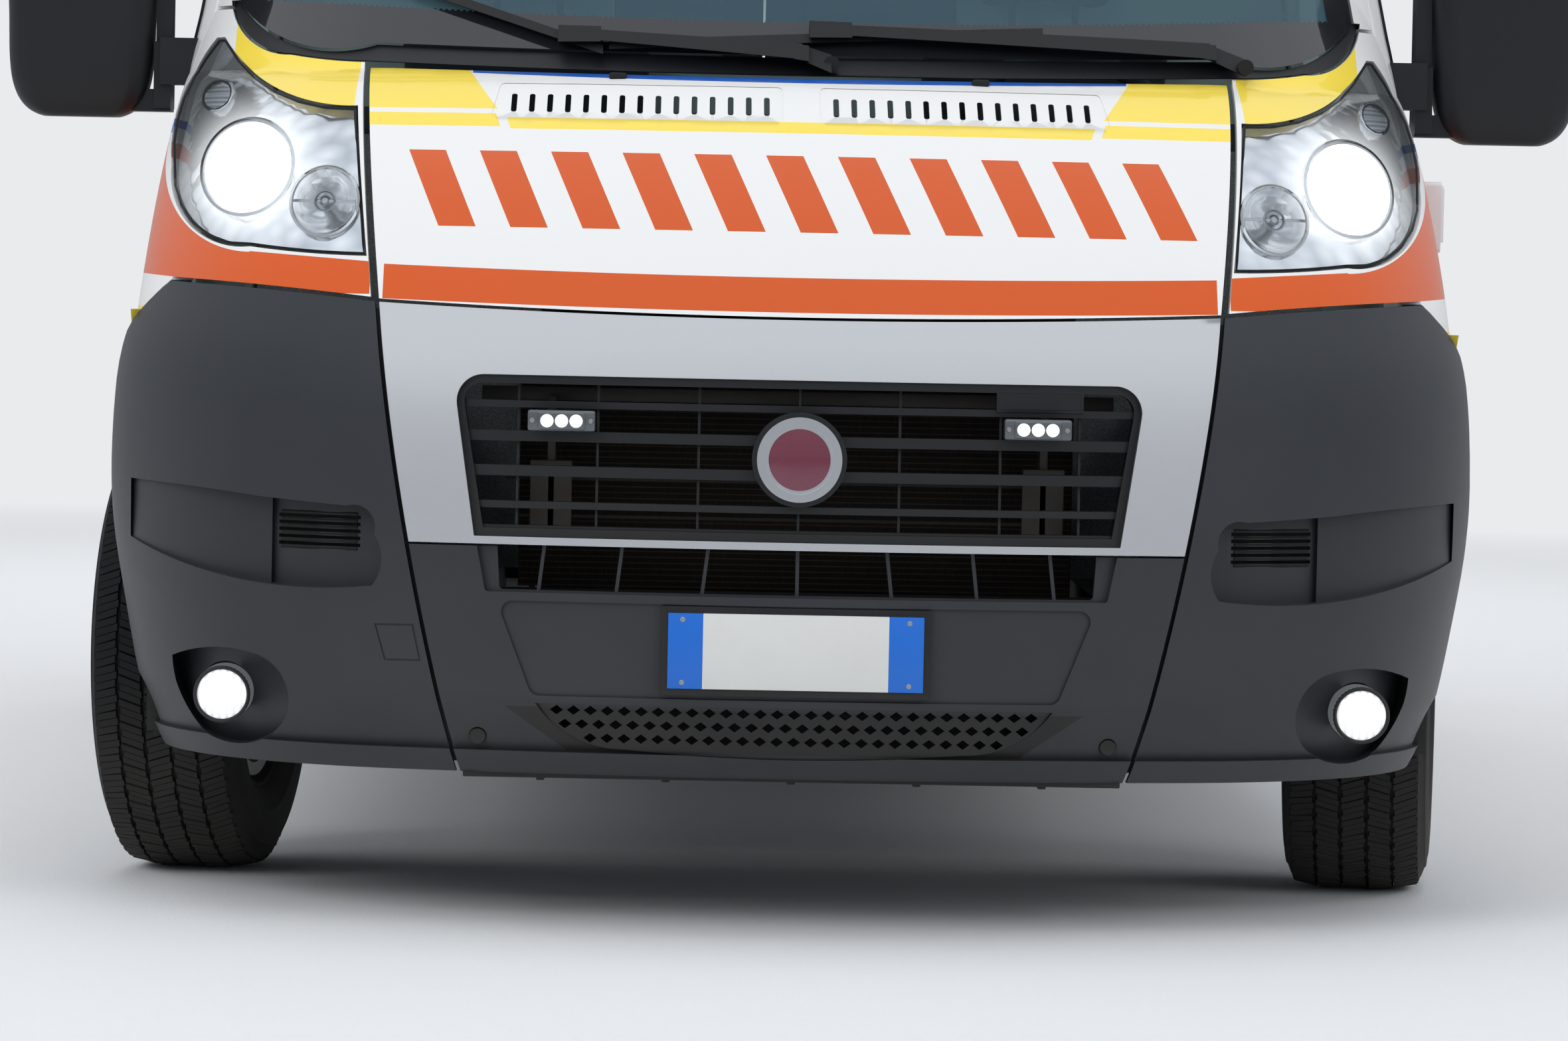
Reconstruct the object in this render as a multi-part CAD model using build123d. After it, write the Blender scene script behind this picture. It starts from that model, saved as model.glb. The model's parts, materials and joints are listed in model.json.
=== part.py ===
"""Van ambulance: a medium-high-roof panel van with a patient compartment.

The frame has +Z up, -Y forward and +X to the vehicle's left. The origin is on
the ground, midway along the vehicle and on its centre plane. Lengths are in
millimetres. A "setback" is a distance behind the foremost point of the nose.
"""

import math
import os

from build123d import *

# Overall sizes
overall_length = 5413
body_height = 2524
wheelbase = 3450
front_overhang = 948
track_front = 1810
track_rear = 1790
cab_back = 2150
body_back = 5352
sill_height = 360

# Body side: straight above the waist, leaning in, and one arc below it
waist_height = 870
belt_height = 1240
roof_seam = 2040
side_at_belt = 957
side_lean = 0.088
side_arc_radius = 2500
roof_corner_radius = 160

# Walls, measured level
bonnet_wall = 14
wing_wall = 28
door_wall = 50
pillar_wall = 62
box_wall = 45
roof_wall = 40
bumper_wall = 24
glass_wall = 6
lens_wall = 5
panel_gap = 6
roof_swage = 4
roof_swage_width = 70
moulding_low = 545
moulding_high = 690
moulding_out = 18

# Wipers: how far blade and arm stand off the glass
blade_depth = 18
arm_depth = 32

# Wheels and tyres
tyre_radius = 348
tyre_width = 225
rim_radius = 190.5
rim_width = 165
arch_radius = 425
rear_arch_radius = 412
arch_lip = 42
liner_gap = 5
liner_wall = 6
liner_seat = 0.5
liner_inner = 560
liner_outer = 958
steer_at_rest = 8
kingpin_inset = 40
ball_joint_radius = 14
joint_clearance = 6
disc_radius = 110
disc_inner_face = -20
disc_wall = 12
hub_radius = 65
link_top = 234

# Doors
door_front = 1030
door_back = 2088
door_bottom = 455
door_top = 1985
door_sill_line = 1290
door_low_sill_line = 1212
window_top = 1905
slide_door_front = 2168
slide_door_back = 3430
slide_door_bottom = 430
slide_door_top = 1985
side_window_low = 1270
side_window_high = 1880
rear_door_half = 815
rear_door_bottom = 500
rear_door_top = 2270
rear_wall = 50
rear_hinge_x = rear_door_half + 12

# Front end
emblem_height = 679
badge_boss_radius = 67
badge_radius = 60
lamp_height = 322
fog_place = 819
fog_radius = 41
surround_bottom = 551
slot_count = 15
slot_width = 8.5
slot_pitch = 26.6
slot_first = 51
slot_height = 28
slot_level = 1186
slot_recess = 2.5
seam_tongue = 14
chin_top = 332
chin_crease = 256
vent_depth = 46
# Floor of the side scoop seen from above, as x and setback: start, middle and end
vent_ramp = [(752, 196), (872, 280), (976, 436)]
fog_depth = 36
vent_pad = 60
intake_recess = 12
plate_recess = 5
groove_width = 2.5
groove_depth = 2
plug_radius = 13

front_y = -overall_length / 2
front_axle_y = front_y + front_overhang


def side_at(z):
    """Half width of the body side at a height at or above the waist."""
    return side_at_belt + (belt_height - z) * side_lean


# Level sections of the nose, cab and bumper:
# height, setback at the centre, half chord of the front arc, its radius, half width
NOSE = [
    (870, 74, 600, 2400, side_at(870)),
    (960, 135, 602, 2350, side_at(960)),
    (1060, 225, 606, 2200, side_at(1060)),
    (1150, 340, 612, 2050, side_at(1150)),
    (1240, 545, 620, 1900, side_at(1240)),
]
SCREEN = [
    (1240, 545, 620, 1900, side_at(1240)),
    (1500, 811, 590, 1900, side_at(1500)),
    (1770, 1090, 550, 1900, side_at(1770)),
    (2040, 1372, 510, 1900, side_at(2040)),
]
FOREHEAD = [
    (2040, 1372, 510, 1900, 905),
    (2140, 1482, 500, 1950, 905),
    (2240, 1605, 490, 2000, 905),
    (2340, 1755, 480, 2050, 905),
    (2425, 1930, 480, 2100, 905),
    (2490, 2150, 480, 2200, 905),
    (2535, 2450, 480, 2300, 905),
]
BUMPER = [
    (222, 80, 560, 2400, 938),
    (252, 45, 560, 2400, 950),
    (330, 10, 560, 2400, 976),
    (450, 0, 560, 2400, 1002),
    (570, 0, 560, 2400, 1022),
    (680, 8, 565, 2400, 1025),
    (760, 22, 570, 2400, 1021),
    (850, 60, 590, 2400, 1006),
    (918, 102, 600, 2400, 986),
]
# The chin under the crease stands forward; above it the skin falls back to these
CHIN = [
    (chin_crease, 54, 560, 2400, 943),
    (294, 32, 560, 2400, 957),
    (chin_top, 9.5, 560, 2400, 977),
]


def at(setback):
    return front_y + setback


def section_wire(row, inset, back):
    """One level section: front arc, two corner arcs, two sides and a straight back."""
    z, centre, half_chord, radius, half = row
    s = half_chord / radius
    c = math.sqrt(1 - s * s)
    corner = (half - half_chord) / (1 - s) - inset
    radius -= inset
    half_chord = radius * s
    half -= inset
    y0 = at(centre + inset)
    y1 = y0 + radius * (1 - c)
    cx = half_chord - corner * s
    cy = y1 + corner * c
    turn = (math.asin(s) + math.pi / 2) / 2
    mx = cx + corner * math.sin(turn)
    my = cy - corner * math.cos(turn)
    yb = at(back)
    return Wire(
        [
            Edge.make_line((half, yb, z), (half, cy, z)),
            Edge.make_three_point_arc((half, cy, z), (mx, my, z), (half_chord, y1, z)),
            Edge.make_three_point_arc((half_chord, y1, z), (0, y0, z), (-half_chord, y1, z)),
            Edge.make_three_point_arc((-half_chord, y1, z), (-mx, my, z), (-half, cy, z)),
            Edge.make_line((-half, cy, z), (-half, yb, z)),
            Edge.make_line((-half, yb, z), (half, yb, z)),
        ]
    )


def level_loft(table, inset=0, back=cab_back, reach=0):
    """Loft through the level sections; reach carries both ends on past the table."""
    rows = [list(r) for r in table]
    if reach:
        first, last = list(rows[0]), list(rows[-1])
        for row, near in ((first, rows[1]), (last, rows[-2])):
            share = abs(reach / (row[0] - near[0]))
            for i in range(5):
                row[i] = row[i] + (row[i] - near[i]) * share
        rows = [first] + rows[1:-1] + [last]
    return Solid.make_loft([section_wire(r, inset, back) for r in rows])


def side_profile_points():
    """Right half of the body's cross-section, from the sill to the waist."""
    lean = math.atan(side_lean)
    x0 = side_at(waist_height)
    cx = x0 - side_arc_radius * math.cos(lean)
    cz = waist_height - side_arc_radius * math.sin(lean)
    a0 = math.asin((sill_height - cz) / side_arc_radius)
    am = (a0 + lean) / 2
    low = (cx + side_arc_radius * math.cos(a0), sill_height)
    mid = (cx + side_arc_radius * math.cos(am), cz + side_arc_radius * math.sin(am))
    return low, mid, (x0, waist_height)


def box_face(inset, lower=False):
    """Cross-section of the body in the plane y = 0, or only what lies below the waist."""
    low, mid, waist = side_profile_points()
    eaves = body_height - 60
    x_e = side_at(eaves)
    flank = Edge.make_three_point_arc((low[0], 0, low[1]), (mid[0], 0, mid[1]), (waist[0], 0, waist[1]))
    opposite = Edge.make_three_point_arc(
        (-waist[0], 0, waist[1]), (-mid[0], 0, mid[1]), (-low[0], 0, low[1])
    )
    sill = Edge.make_line((-low[0], 0, low[1]), (low[0], 0, low[1]))
    if lower:
        level = Edge.make_line((waist[0], 0, waist[1]), (-waist[0], 0, waist[1]))
        face = Face(Wire([sill, flank, level, opposite]))
    else:
        up = Edge.make_line((waist[0], 0, waist[1]), (x_e, 0, eaves))
        over = Edge.make_three_point_arc((x_e, 0, eaves), (0, 0, body_height), (-x_e, 0, eaves))
        down = Edge.make_line((-x_e, 0, eaves), (-waist[0], 0, waist[1]))
        face = Face(Wire([sill, flank, up, over, down, opposite]))
        corners = [v for v in face.vertices() if abs(v.Z - eaves) < 1]
        face = face.fillet_2d(roof_corner_radius, corners)
    if inset:
        face = Face(face.outer_wire().offset_2d(-inset))
    return face


def along_y(face, setback0, setback1):
    """Carry a face drawn at y = 0 from one setback to another."""
    moved = face.moved(Location((0, at(setback0), 0)))
    return Solid.extrude(moved, Vector(0, setback1 - setback0, 0))


def wire_through(place, start, steps):
    """Closed wire; a step is a point, or a pair of points for an arc's middle and end."""
    edges, here = [], start
    for step in steps:
        if isinstance(step[0], tuple):
            mid, end = step
            edges.append(Edge.make_three_point_arc(place(*here), place(*mid), place(*end)))
        else:
            end = step
            edges.append(Edge.make_line(place(*here), place(*end)))
        here = end
    if math.dist(here, start) > 1e-6:
        edges.append(Edge.make_line(place(*here), place(*start)))
    return Wire(edges)


def front_prism(start, steps, setback0=-40, setback1=1400):
    """Prism along Y on an outline given as x and height."""
    wire = wire_through(lambda x, z: (x, at(setback0), z), start, steps)
    return Solid.extrude(Face(wire), Vector(0, setback1 - setback0, 0))


def side_prism(start, steps, x0=0, x1=1100):
    """Prism along X on an outline given as setback and height."""
    wire = wire_through(lambda s, z: (x0, at(s), z), start, steps)
    return Solid.extrude(Face(wire), Vector(x1 - x0, 0, 0))


def rounded_side_prism(points, radius, x0=0, x1=1100):
    wire = wire_through(lambda s, z: (x0, at(s), z), points[0], points[1:])
    face = Face(wire)
    return Solid.extrude(face.fillet_2d(radius, face.vertices()), Vector(x1 - x0, 0, 0))


def rounded_front_prism(points, radius, setback0=-40, setback1=1400):
    wire = wire_through(lambda x, z: (x, at(setback0), z), points[0], points[1:])
    face = Face(wire)
    return Solid.extrude(face.fillet_2d(radius, face.vertices()), Vector(0, setback1 - setback0, 0))


def plan_prism(start, steps, z0, z1):
    """Upright prism on an outline given as x and setback."""
    wire = wire_through(lambda x, s: (x, at(s), z0), start, steps)
    return Solid.extrude(Face(wire), Vector(0, 0, z1 - z0))


def block(x0, x1, s0, s1, z0, z1):
    """Block between two sides, two setbacks and two heights."""
    solid = Solid.make_box(x1 - x0, s1 - s0, z1 - z0)
    return solid.moved(Location((x0, at(s0), z0)))


def cylinder_x(radius, x0, x1, setback, z):
    plane = Plane(origin=(x0, at(setback), z), z_dir=(1, 0, 0), x_dir=(0, 1, 0))
    return Solid.make_cylinder(radius, x1 - x0, plane)


def cylinder_y(radius, x, setback0, setback1, z):
    plane = Plane(origin=(x, at(setback0), z), z_dir=(0, 1, 0), x_dir=(1, 0, 0))
    return Solid.make_cylinder(radius, setback1 - setback0, plane)


def cylinder_z(radius, x, setback, z0, z1):
    return Solid.make_cylinder(radius, z1 - z0, Plane(origin=(x, at(setback), z0)))


def sag(x, radius=2400):
    """How far the bumper's front arc falls back at a distance from the centre."""
    return radius - math.sqrt(radius * radius - x * x)


def arc_plate(half, setback, wall, z0, z1, lean=0, radius=2400):
    """Plate bowed like the bumper; its front foot is at a setback, and it leans back."""
    def point(x, depth):
        return (x, at(setback + depth + sag(x, radius)), z0)

    wire = Wire(
        [
            Edge.make_three_point_arc(point(-half, 0), point(0, 0), point(half, 0)),
            Edge.make_line(point(half, 0), point(half, wall)),
            Edge.make_three_point_arc(point(half, wall), point(0, wall), point(-half, wall)),
            Edge.make_line(point(-half, wall), point(-half, 0)),
        ]
    )
    return Solid.extrude(Face(wire), Vector(0, lean * (z1 - z0), z1 - z0))


def mirrored(*shapes):
    return [s.mirror(Plane.YZ) for s in solids_of(*shapes)]


def both_sides(*shapes):
    return solids_of(*shapes) + mirrored(*shapes)


def solids_of(*shapes):
    """Every solid in the given shapes or lists, as one list."""
    found = []
    for shape in shapes:
        if isinstance(shape, (list, tuple, ShapeList)):
            found += solids_of(*shape)
        elif shape is not None:
            found += list(shape.solids())
    return found


def common(shape, *tools):
    """What each solid of a shape shares with every tool in turn."""
    found = solids_of(shape)
    for tool in tools:
        shared = []
        for solid in found:
            for cutter in solids_of(tool):
                shared += solids_of(solid.intersect(cutter))
        found = [s for s in shared if s.volume > 100]
    return found


def fused(*shapes):
    solids = solids_of(*shapes)
    return solids[0].fuse(*solids[1:]) if len(solids) > 1 else solids[0]


def cab_form(inset=0):
    """Nose, cab and cab lower sides as three solids, moved in by inset."""
    nose = level_loft(NOSE, inset)
    screen = level_loft(SCREEN, inset)
    lower = along_y(box_face(inset, True), 500, cab_back)
    if inset > 0:
        low, high = waist_height - inset - 2, waist_height
        lower = lower.fuse(block(-side_at(high) + inset, side_at(high) - inset, 500, cab_back, low, high))
    return nose, screen, lower


class Form:
    """The outer and inner shapes of the cab, kept for one wall thickness."""

    made = {}

    @classmethod
    def parts(cls, inset):
        if inset not in cls.made:
            cls.made[inset] = cab_form(inset)
        return cls.made[inset]


def cab_panel(prism, wall, start=0):
    """The part of the cab's skin inside a prism, from start to wall deep."""
    pieces = []
    for outer, inner in zip(Form.parts(start), Form.parts(wall)):
        for solid in common(outer, prism):
            pieces += solids_of(solid.cut(inner))
    pieces = [p for p in pieces if p.volume > 500]
    return fused(*pieces)


def cut_all(shape, *tools):
    """Cut each solid of a shape by the tools, and keep what is left."""
    kept = []
    flat = solids_of(*tools)
    for solid in solids_of(shape):
        kept += [s for s in solids_of(solid.cut(*flat)) if s.volume > 500]
    return kept


def arch_cut(radius, setback, side=1):
    x0, x1 = (560, 1100) if side > 0 else (-1100, -560)
    return cylinder_x(radius, x0, x1, setback, tyre_radius)


parts = {}


def keep(name, *shapes):
    solids = solids_of(*shapes)
    parts[name] = solids[0] if len(solids) == 1 else Compound(solids)


# Bonnet with two rows of air slots
def bonnet():
    g = panel_gap / 2
    outline = front_prism(
        (-606 + g, 894),
        [((0, 879), (606 - g, 894)), (650 - g, 1241), ((0, 1232), (-650 + g, 1241))],
    )
    panel = cab_panel(outline, bonnet_wall)
    slots = []
    for i in range(slot_count):
        x = slot_first + i * slot_pitch
        slot = rounded_front_prism(
            [
                (x - slot_width / 2, slot_level - slot_height / 2),
                (x + slot_width / 2, slot_level - slot_height / 2),
                (x + slot_width / 2, slot_level + slot_height / 2),
                (x - slot_width / 2, slot_level + slot_height / 2),
            ],
            3,
            100,
            800,
        )
        slots += both_sides(slot)
    last = slot_first + (slot_count - 1) * slot_pitch
    low, high = slot_level - slot_height / 2 - 11, slot_level + slot_height / 2 + 17
    pressing = rounded_front_prism(
        [(slot_first - 24, low), (last + 34, low), (last + 22, high), (slot_first - 24, high)],
        8,
        100,
        800,
    )
    pressings = both_sides(cut_all(pressing, level_loft(NOSE, slot_recess)))
    return cut_all(panel, pressings, *slots)


# Headlamp outline, from its inner lower corner; grow moves it out
def headlamp_outline(grow=0, setback0=-40, setback1=1400):
    g = grow
    return front_prism(
        (627 - g, 957 - g),
        [
            (659 - g, 1176 + g),
            ((790 - g, 1204 + g), (888, 1290 + g)),
            (900 + g, 1290 + g),
            ((950 + g, 1195), (944 + g, 1090)),
            ((904 + g, 1004 - g), (800, 968 - g)),
            ((715, 960 - g), (627 - g, 957 - g)),
        ],
        setback0,
        setback1,
    )


def bumper_top_prism(grow):
    """Everything below the seam between bumper and wing, seen from the front."""
    return front_prism(
        (0, 150),
        [
            (0, 889 + grow),
            (606, 889 + grow),
            ((800, 906 + grow), (945, 914 + grow)),
            (1100, 914 + grow),
            (1100, 150),
        ],
        -60,
        430,
    ).fuse(
        side_prism(
            (420, 150),
            [(420, 914 + grow), (560, 838 + grow), (650 + grow, 690), (650 + grow, 150)],
            0,
            1100,
        )
    )


def door_outline(grow=0, x0=0, x1=1100):
    """The front door seen from the side; it rises in a curve around the wheel arch."""
    g = grow
    r = arch_radius + arch_lip - g
    dz = door_bottom - g - tyre_radius
    low = (front_overhang + math.sqrt(r * r - dz * dz), door_bottom - g)
    dx = door_front - g - front_overhang
    high = (door_front - g, tyre_radius + math.sqrt(r * r - dx * dx))
    turn = math.radians(50)
    mid = (front_overhang + r * math.cos(turn), tyre_radius + r * math.sin(turn))
    return side_prism(
        low,
        [
            (mid, high),
            (door_front - g, 1335 + g * 0.5),
            (1640 - g, door_top + g),
            (door_back + g, door_top + g),
            (door_back + g, door_bottom - g),
        ],
        x0,
        x1,
    )


def window_outline(grow=0, x0=0, x1=1100):
    g = grow
    return rounded_side_prism(
        [
            (1112 - g, door_low_sill_line - g),
            (1430 + g * 0.4, door_low_sill_line - g),
            (1520, door_sill_line - g),
            (2010 + g, door_sill_line - g),
            (2010 + g, window_top + g),
            (1668 - g, window_top + g),
            (1112 - g, 1322 + g * 0.3),
        ],
        26,
        x0,
        x1,
    )


# Front wings, with the flare round the arch and the opening for the headlamp
def wing():
    edge = [(612, 870), (656.5, 1243), (656.5, 1400), (1100, 1400), (1100, door_bottom)]
    panel = cab_panel(front_prism((612, door_bottom), edge, -40, 1500), wing_wall)
    ring = cylinder_x(arch_radius + arch_lip - panel_gap, 965, 1004, front_overhang, tyre_radius)
    ring = common(ring, block(940, 1100, 560, 1500, door_bottom, 1000))
    top = fused(panel, ring)
    return cut_all(
        top,
        arch_cut(arch_radius, front_overhang),
        bumper_top_prism(panel_gap),
        headlamp_outline(2.5),
        cowl_outline(3),
        door_outline(panel_gap),
        block(500, 1100, door_front - panel_gap, 1700, 820, 1400),
        side_prism((1500, 400), [(1500, 500), (door_front - panel_gap, 820), (1700, 820), (1700, 400)]),
        block(500, 1100, 400, 1100, 1338, 1500),
    )


# Windscreen, and the plastic scuttle between it and the bonnet
def windscreen_outline(grow=0):
    g = grow
    return front_prism(
        (-868 - g, 1348),
        [
            (-812 - g, 1975 + g),
            ((0, 1990 + g), (812 + g, 1975 + g)),
            (868 + g, 1348),
            ((815 + g, 1302 - g), (640, 1280 - g)),
            ((0, 1268 - g), (-640, 1280 - g)),
            ((-815 - g, 1302 - g), (-868 - g, 1348)),
        ],
        -40,
        2000,
    )


def cowl_outline(grow=0):
    g = grow
    return front_prism(
        (-880 - g, 1352),
        [
            ((-850 - g, 1296 - g), (-774, 1264 - g)),
            ((-720, 1256 - g), (-656, 1252 - g)),
            ((0, 1238 - g), (656, 1252 - g)),
            ((720, 1256 - g), (774, 1264 - g)),
            ((850 + g, 1296 - g), (880 + g, 1352)),
        ],
        -40,
        1300,
    )


def cowl():
    panel = cab_panel(cowl_outline(), 46, 10)
    return cut_all(panel, windscreen_outline(3))


def windscreen():
    return cab_panel(windscreen_outline(0), 2 + glass_wall, 2)


# Cab frame: windscreen pillars, header, door pillar and sill
def cab_frame():
    whole = block(-1100, 1100, 400, cab_back - 2, 340, roof_seam - 3)
    skin = cab_panel(whole, pillar_wall)
    return cut_all(
        skin,
        windscreen_outline(4),
        [door_outline(panel_gap), mirrored(door_outline(panel_gap))],
        block(-1100, 1100, 300, door_front - 4, 300, 1344),
        block(-1100, 1100, 300, 1380, 300, 1200),
        [arch_cut(arch_radius + arch_lip, front_overhang, side) for side in (1, -1)],
        block(-900, 900, 300, 2300, 300, 480),
        cowl_outline(3),
        front_prism((-900, 1200), [(900, 1200), (868, 1349), (-868, 1349)], -40, 1150),
    )


# Roof: forehead and box roof in one pressing
def body_box(inset, front, back):
    return along_y(box_face(inset), front, back)


def roof_form(inset, back=body_back - 120):
    reach = 4 if inset else 0
    forehead = level_loft(FOREHEAD, inset, body_back + 200, reach)
    return common(body_box(inset, 1200 - inset, back), forehead)


def roof():
    shell = cut_all(roof_form(0), roof_form(roof_wall, body_back))
    swages = []
    for x in (120, 360, 600):
        lane = block(x - roof_swage_width / 2, x + roof_swage_width / 2, 2620, 4820, 2300, 2600)
        swages += common(cut_all(body_box(-20, 2600, 4900), body_box(roof_swage, 2590, 4910)), lane)
    return cut_all(shell, block(-1200, 1200, 900, 6000, 0, roof_seam), both_sides(swages))


# Box body sides, with the rear wheel arches
def box_side(right):
    shell = body_box(0, cab_back + 1, body_back - 120)
    shell = cut_all(shell, body_box(box_wall, cab_back - 50, body_back))
    side = common(shell, block(860, 1100, cab_back, body_back, sill_height - 10, roof_seam - 3))
    tools = [arch_cut(rear_arch_radius, front_overhang + wheelbase)]
    flare = cylinder_x(rear_arch_radius + arch_lip, 950, 1004, front_overhang + wheelbase, tyre_radius)
    flare = common(flare, block(900, 1100, 3800, 5000, sill_height, 1000))
    side = fused(side, flare)
    if right:
        tools.append(slide_outline(panel_gap))
    else:
        tools.append(side_window_outline(0))
    side = cut_all(side, *tools)
    return mirrored(side) if right else side


def slide_outline(grow=0):
    g = grow
    return rounded_side_prism(
        [
            (slide_door_front - g, slide_door_bottom - g),
            (slide_door_back + g, slide_door_bottom - g),
            (slide_door_back + g, slide_door_top + g),
            (slide_door_front - g, slide_door_top + g),
        ],
        60 + g,
    )


def side_window_outline(grow=0):
    g = grow
    return rounded_side_prism(
        [
            (2330 - g, side_window_low - g),
            (3290 + g, side_window_low - g),
            (3290 + g, side_window_high + g),
            (2330 - g, side_window_high + g),
        ],
        70 + g,
    )


def sliding_door():
    shell = body_box(0, slide_door_front - 10, slide_door_back + 10)
    shell = cut_all(shell, body_box(door_wall, slide_door_front - 20, slide_door_back + 20))
    panel = common(shell, slide_outline())
    return mirrored(cut_all(panel, side_window_outline()))


def side_windows():
    shell = cut_all(body_box(3, 2300, 3320), body_box(3 + glass_wall, 2290, 3330))
    pane = common(shell, side_window_outline(-0.3))
    return both_sides(pane)


# Rear frame, doors and lamps
def rear_shell(wall, start=0):
    """The end of the body as a cap of one wall, moved in by start."""
    outer = body_box(start, 4900, body_back - start)
    return cut_all(outer, body_box(start + wall, 4800, body_back - start - wall))


def rear_corner_trim():
    """What a rounded rear corner takes off one side."""
    radius = 70
    x0 = side_at(waist_height) + 9
    corner = block(x0 - radius, x0 + 120, body_back - radius, body_back + 10, 300, 2600)
    post = cylinder_z(radius, x0 - radius, body_back - radius, 290, 2610)
    return cut_all(corner, post)


def rear_door_outline(grow=0):
    g = grow
    return rounded_front_prism(
        [
            (panel_gap / 2 - g, rear_door_bottom - g),
            (rear_door_half + g, rear_door_bottom - g),
            (rear_door_half + g, rear_door_top + g),
            (panel_gap / 2 - g, rear_door_top + g),
        ],
        12,
        body_back - 200,
        body_back + 40,
    )


def tail_lamp_outline(grow=0):
    g = grow
    return rounded_front_prism(
        [(852 - g, 880 - g), (1060, 880 - g), (1060, 1330 + g), (852 - g, 1330 + g)],
        12,
        body_back - 105 - g,
        body_back + 40,
    )


def rear_window_outline(grow=0):
    g = grow
    return rounded_front_prism(
        [(95 - g, 1290 - g), (715 + g, 1290 - g), (715 + g, 1930 + g), (95 - g, 1930 + g)],
        60,
        body_back - 200,
        body_back + 40,
    )


def rear_frame():
    shell = rear_shell(rear_wall)
    shell = common(shell, block(-1100, 1100, body_back - 117, body_back + 1, sill_height - 1, 2600))
    opening = rear_door_outline(panel_gap)
    tools = both_sides(opening) + both_sides(rear_corner_trim()) + both_sides(tail_lamp_outline(0.3))
    low, high = rear_door_bottom - panel_gap, rear_door_top + panel_gap
    tools.append(block(-20, 20, body_back - 200, body_back + 20, low, high))
    return cut_all(shell, *tools)


def rear_door():
    panel = common(rear_shell(rear_wall), rear_door_outline())
    panel = cut_all(panel, rear_window_outline())
    edge = rear_door_half
    arm = []
    for z in (700, 1330, 2060):
        arm.append(block(edge - 60, edge - 2, body_back - 1, body_back + 14, z - 22, z + 22))
        arm.append(block(edge - 5, rear_hinge_x, body_back + 2, body_back + 14, z - 22, z + 22))
        arm.append(cylinder_z(6.5, rear_hinge_x, body_back + 8, z - 30, z + 30))
    return fused(panel, arm)


def rear_door_glass():
    pane = common(rear_shell(glass_wall, 4), rear_window_outline(-0.3))
    return solids_of(pane)[0]


def tail_lamp():
    shell = rear_shell(26)
    shell = common(shell, block(0, 1100, body_back - 105, body_back + 1, 300, 2600))
    lamp = common(shell, tail_lamp_outline())
    return cut_all(lamp, rear_corner_trim())


def rear_bumper():
    outline = [(-992, 372), (992, 372), (1000, 490), (-1000, 490)]
    step = rounded_front_prism(outline, 25, body_back - 46, overall_length)
    inside = block(-930, 930, body_back - 61, body_back + 12, 360, 480)
    recess = block(-400, 400, body_back + 30, overall_length + 5, 482, 500)
    return cut_all(step, inside, recess, rear_frame())


# Front doors
def front_door():
    panel = cab_panel(door_outline(), door_wall)
    return cut_all(panel, window_outline(), cowl_outline(3))


def door_glass():
    pane = cab_panel(window_outline(-0.3), 16 + glass_wall, 16)
    return pane


def door_trim():
    """Waist moulding, handle and mirror of one front door, all in black plastic."""
    strip = moulding_strip(moulding_low, moulding_high, 1440, door_back, moulding_out)
    handle = fused(
        block(958, 1004, 1905, 1930, 1105, 1130),
        block(958, 1004, 2040, 2062, 1105, 1130),
        block(986, 1004, 1905, 2062, 1103, 1133),
    )
    outer_skin = [Form.parts(0)[0], Form.parts(0)[1]]
    handle = cut_all(handle, *outer_skin)
    base = cut_all(block(930, 1002, 1075, 1200, 1222, 1296), *outer_skin, window_outline())
    arms = fused(
        block(985, 1080, 1092, 1150, 1180, 1215),
        block(985, 1012, 1085, 1160, 1185, 1290),
        block(985, 1080, 1098, 1150, 1432, 1462),
        block(985, 1010, 1098, 1150, 1280, 1462),
    )
    arms = cut_all(arms, *outer_skin)
    housing = mirror_housing()
    return [strip, handle, fused(base, arms, housing)]


def mirror_housing():
    rows = [
        # height, half width, half depth
        (1170, 60, 30),
        (1190, 92, 48),
        (1260, 112, 62),
        (1400, 118, 66),
        (1540, 112, 62),
        (1592, 84, 44),
    ]
    centre_x, centre_s = 1128, 1118
    wires = []
    for z, a, b in rows:
        wires.append(rounded_ring(centre_x, centre_s, a, b, z))
    body = Solid.make_loft(wires)
    recess = block(centre_x - 100, centre_x + 100, centre_s + 40, centre_s + 90, 1215, 1560)
    return cut_all(body, recess)


def rounded_ring(x, s, a, b, z):
    """Level rectangle with rounded corners, as a wire."""
    points = [(x - a, at(s - b), z), (x + a, at(s - b), z), (x + a, at(s + b), z), (x - a, at(s + b), z)]
    face = Face(Wire.make_polygon(points, close=True))
    return face.fillet_2d(min(a, b) * 0.6, face.vertices()).outer_wire()


def moulding_strip(low, high, setback0, setback1, out):
    """A flat moulding that stands out from the body side between two heights."""
    outer = along_y(box_face(-out, True), setback0, setback1)
    inner = along_y(box_face(0, True), setback0 - 10, setback1 + 10)
    strip = cut_all(outer, inner)
    return solids_of(common(strip, block(900, 1100, setback0, setback1, low, high)))[0]


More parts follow.
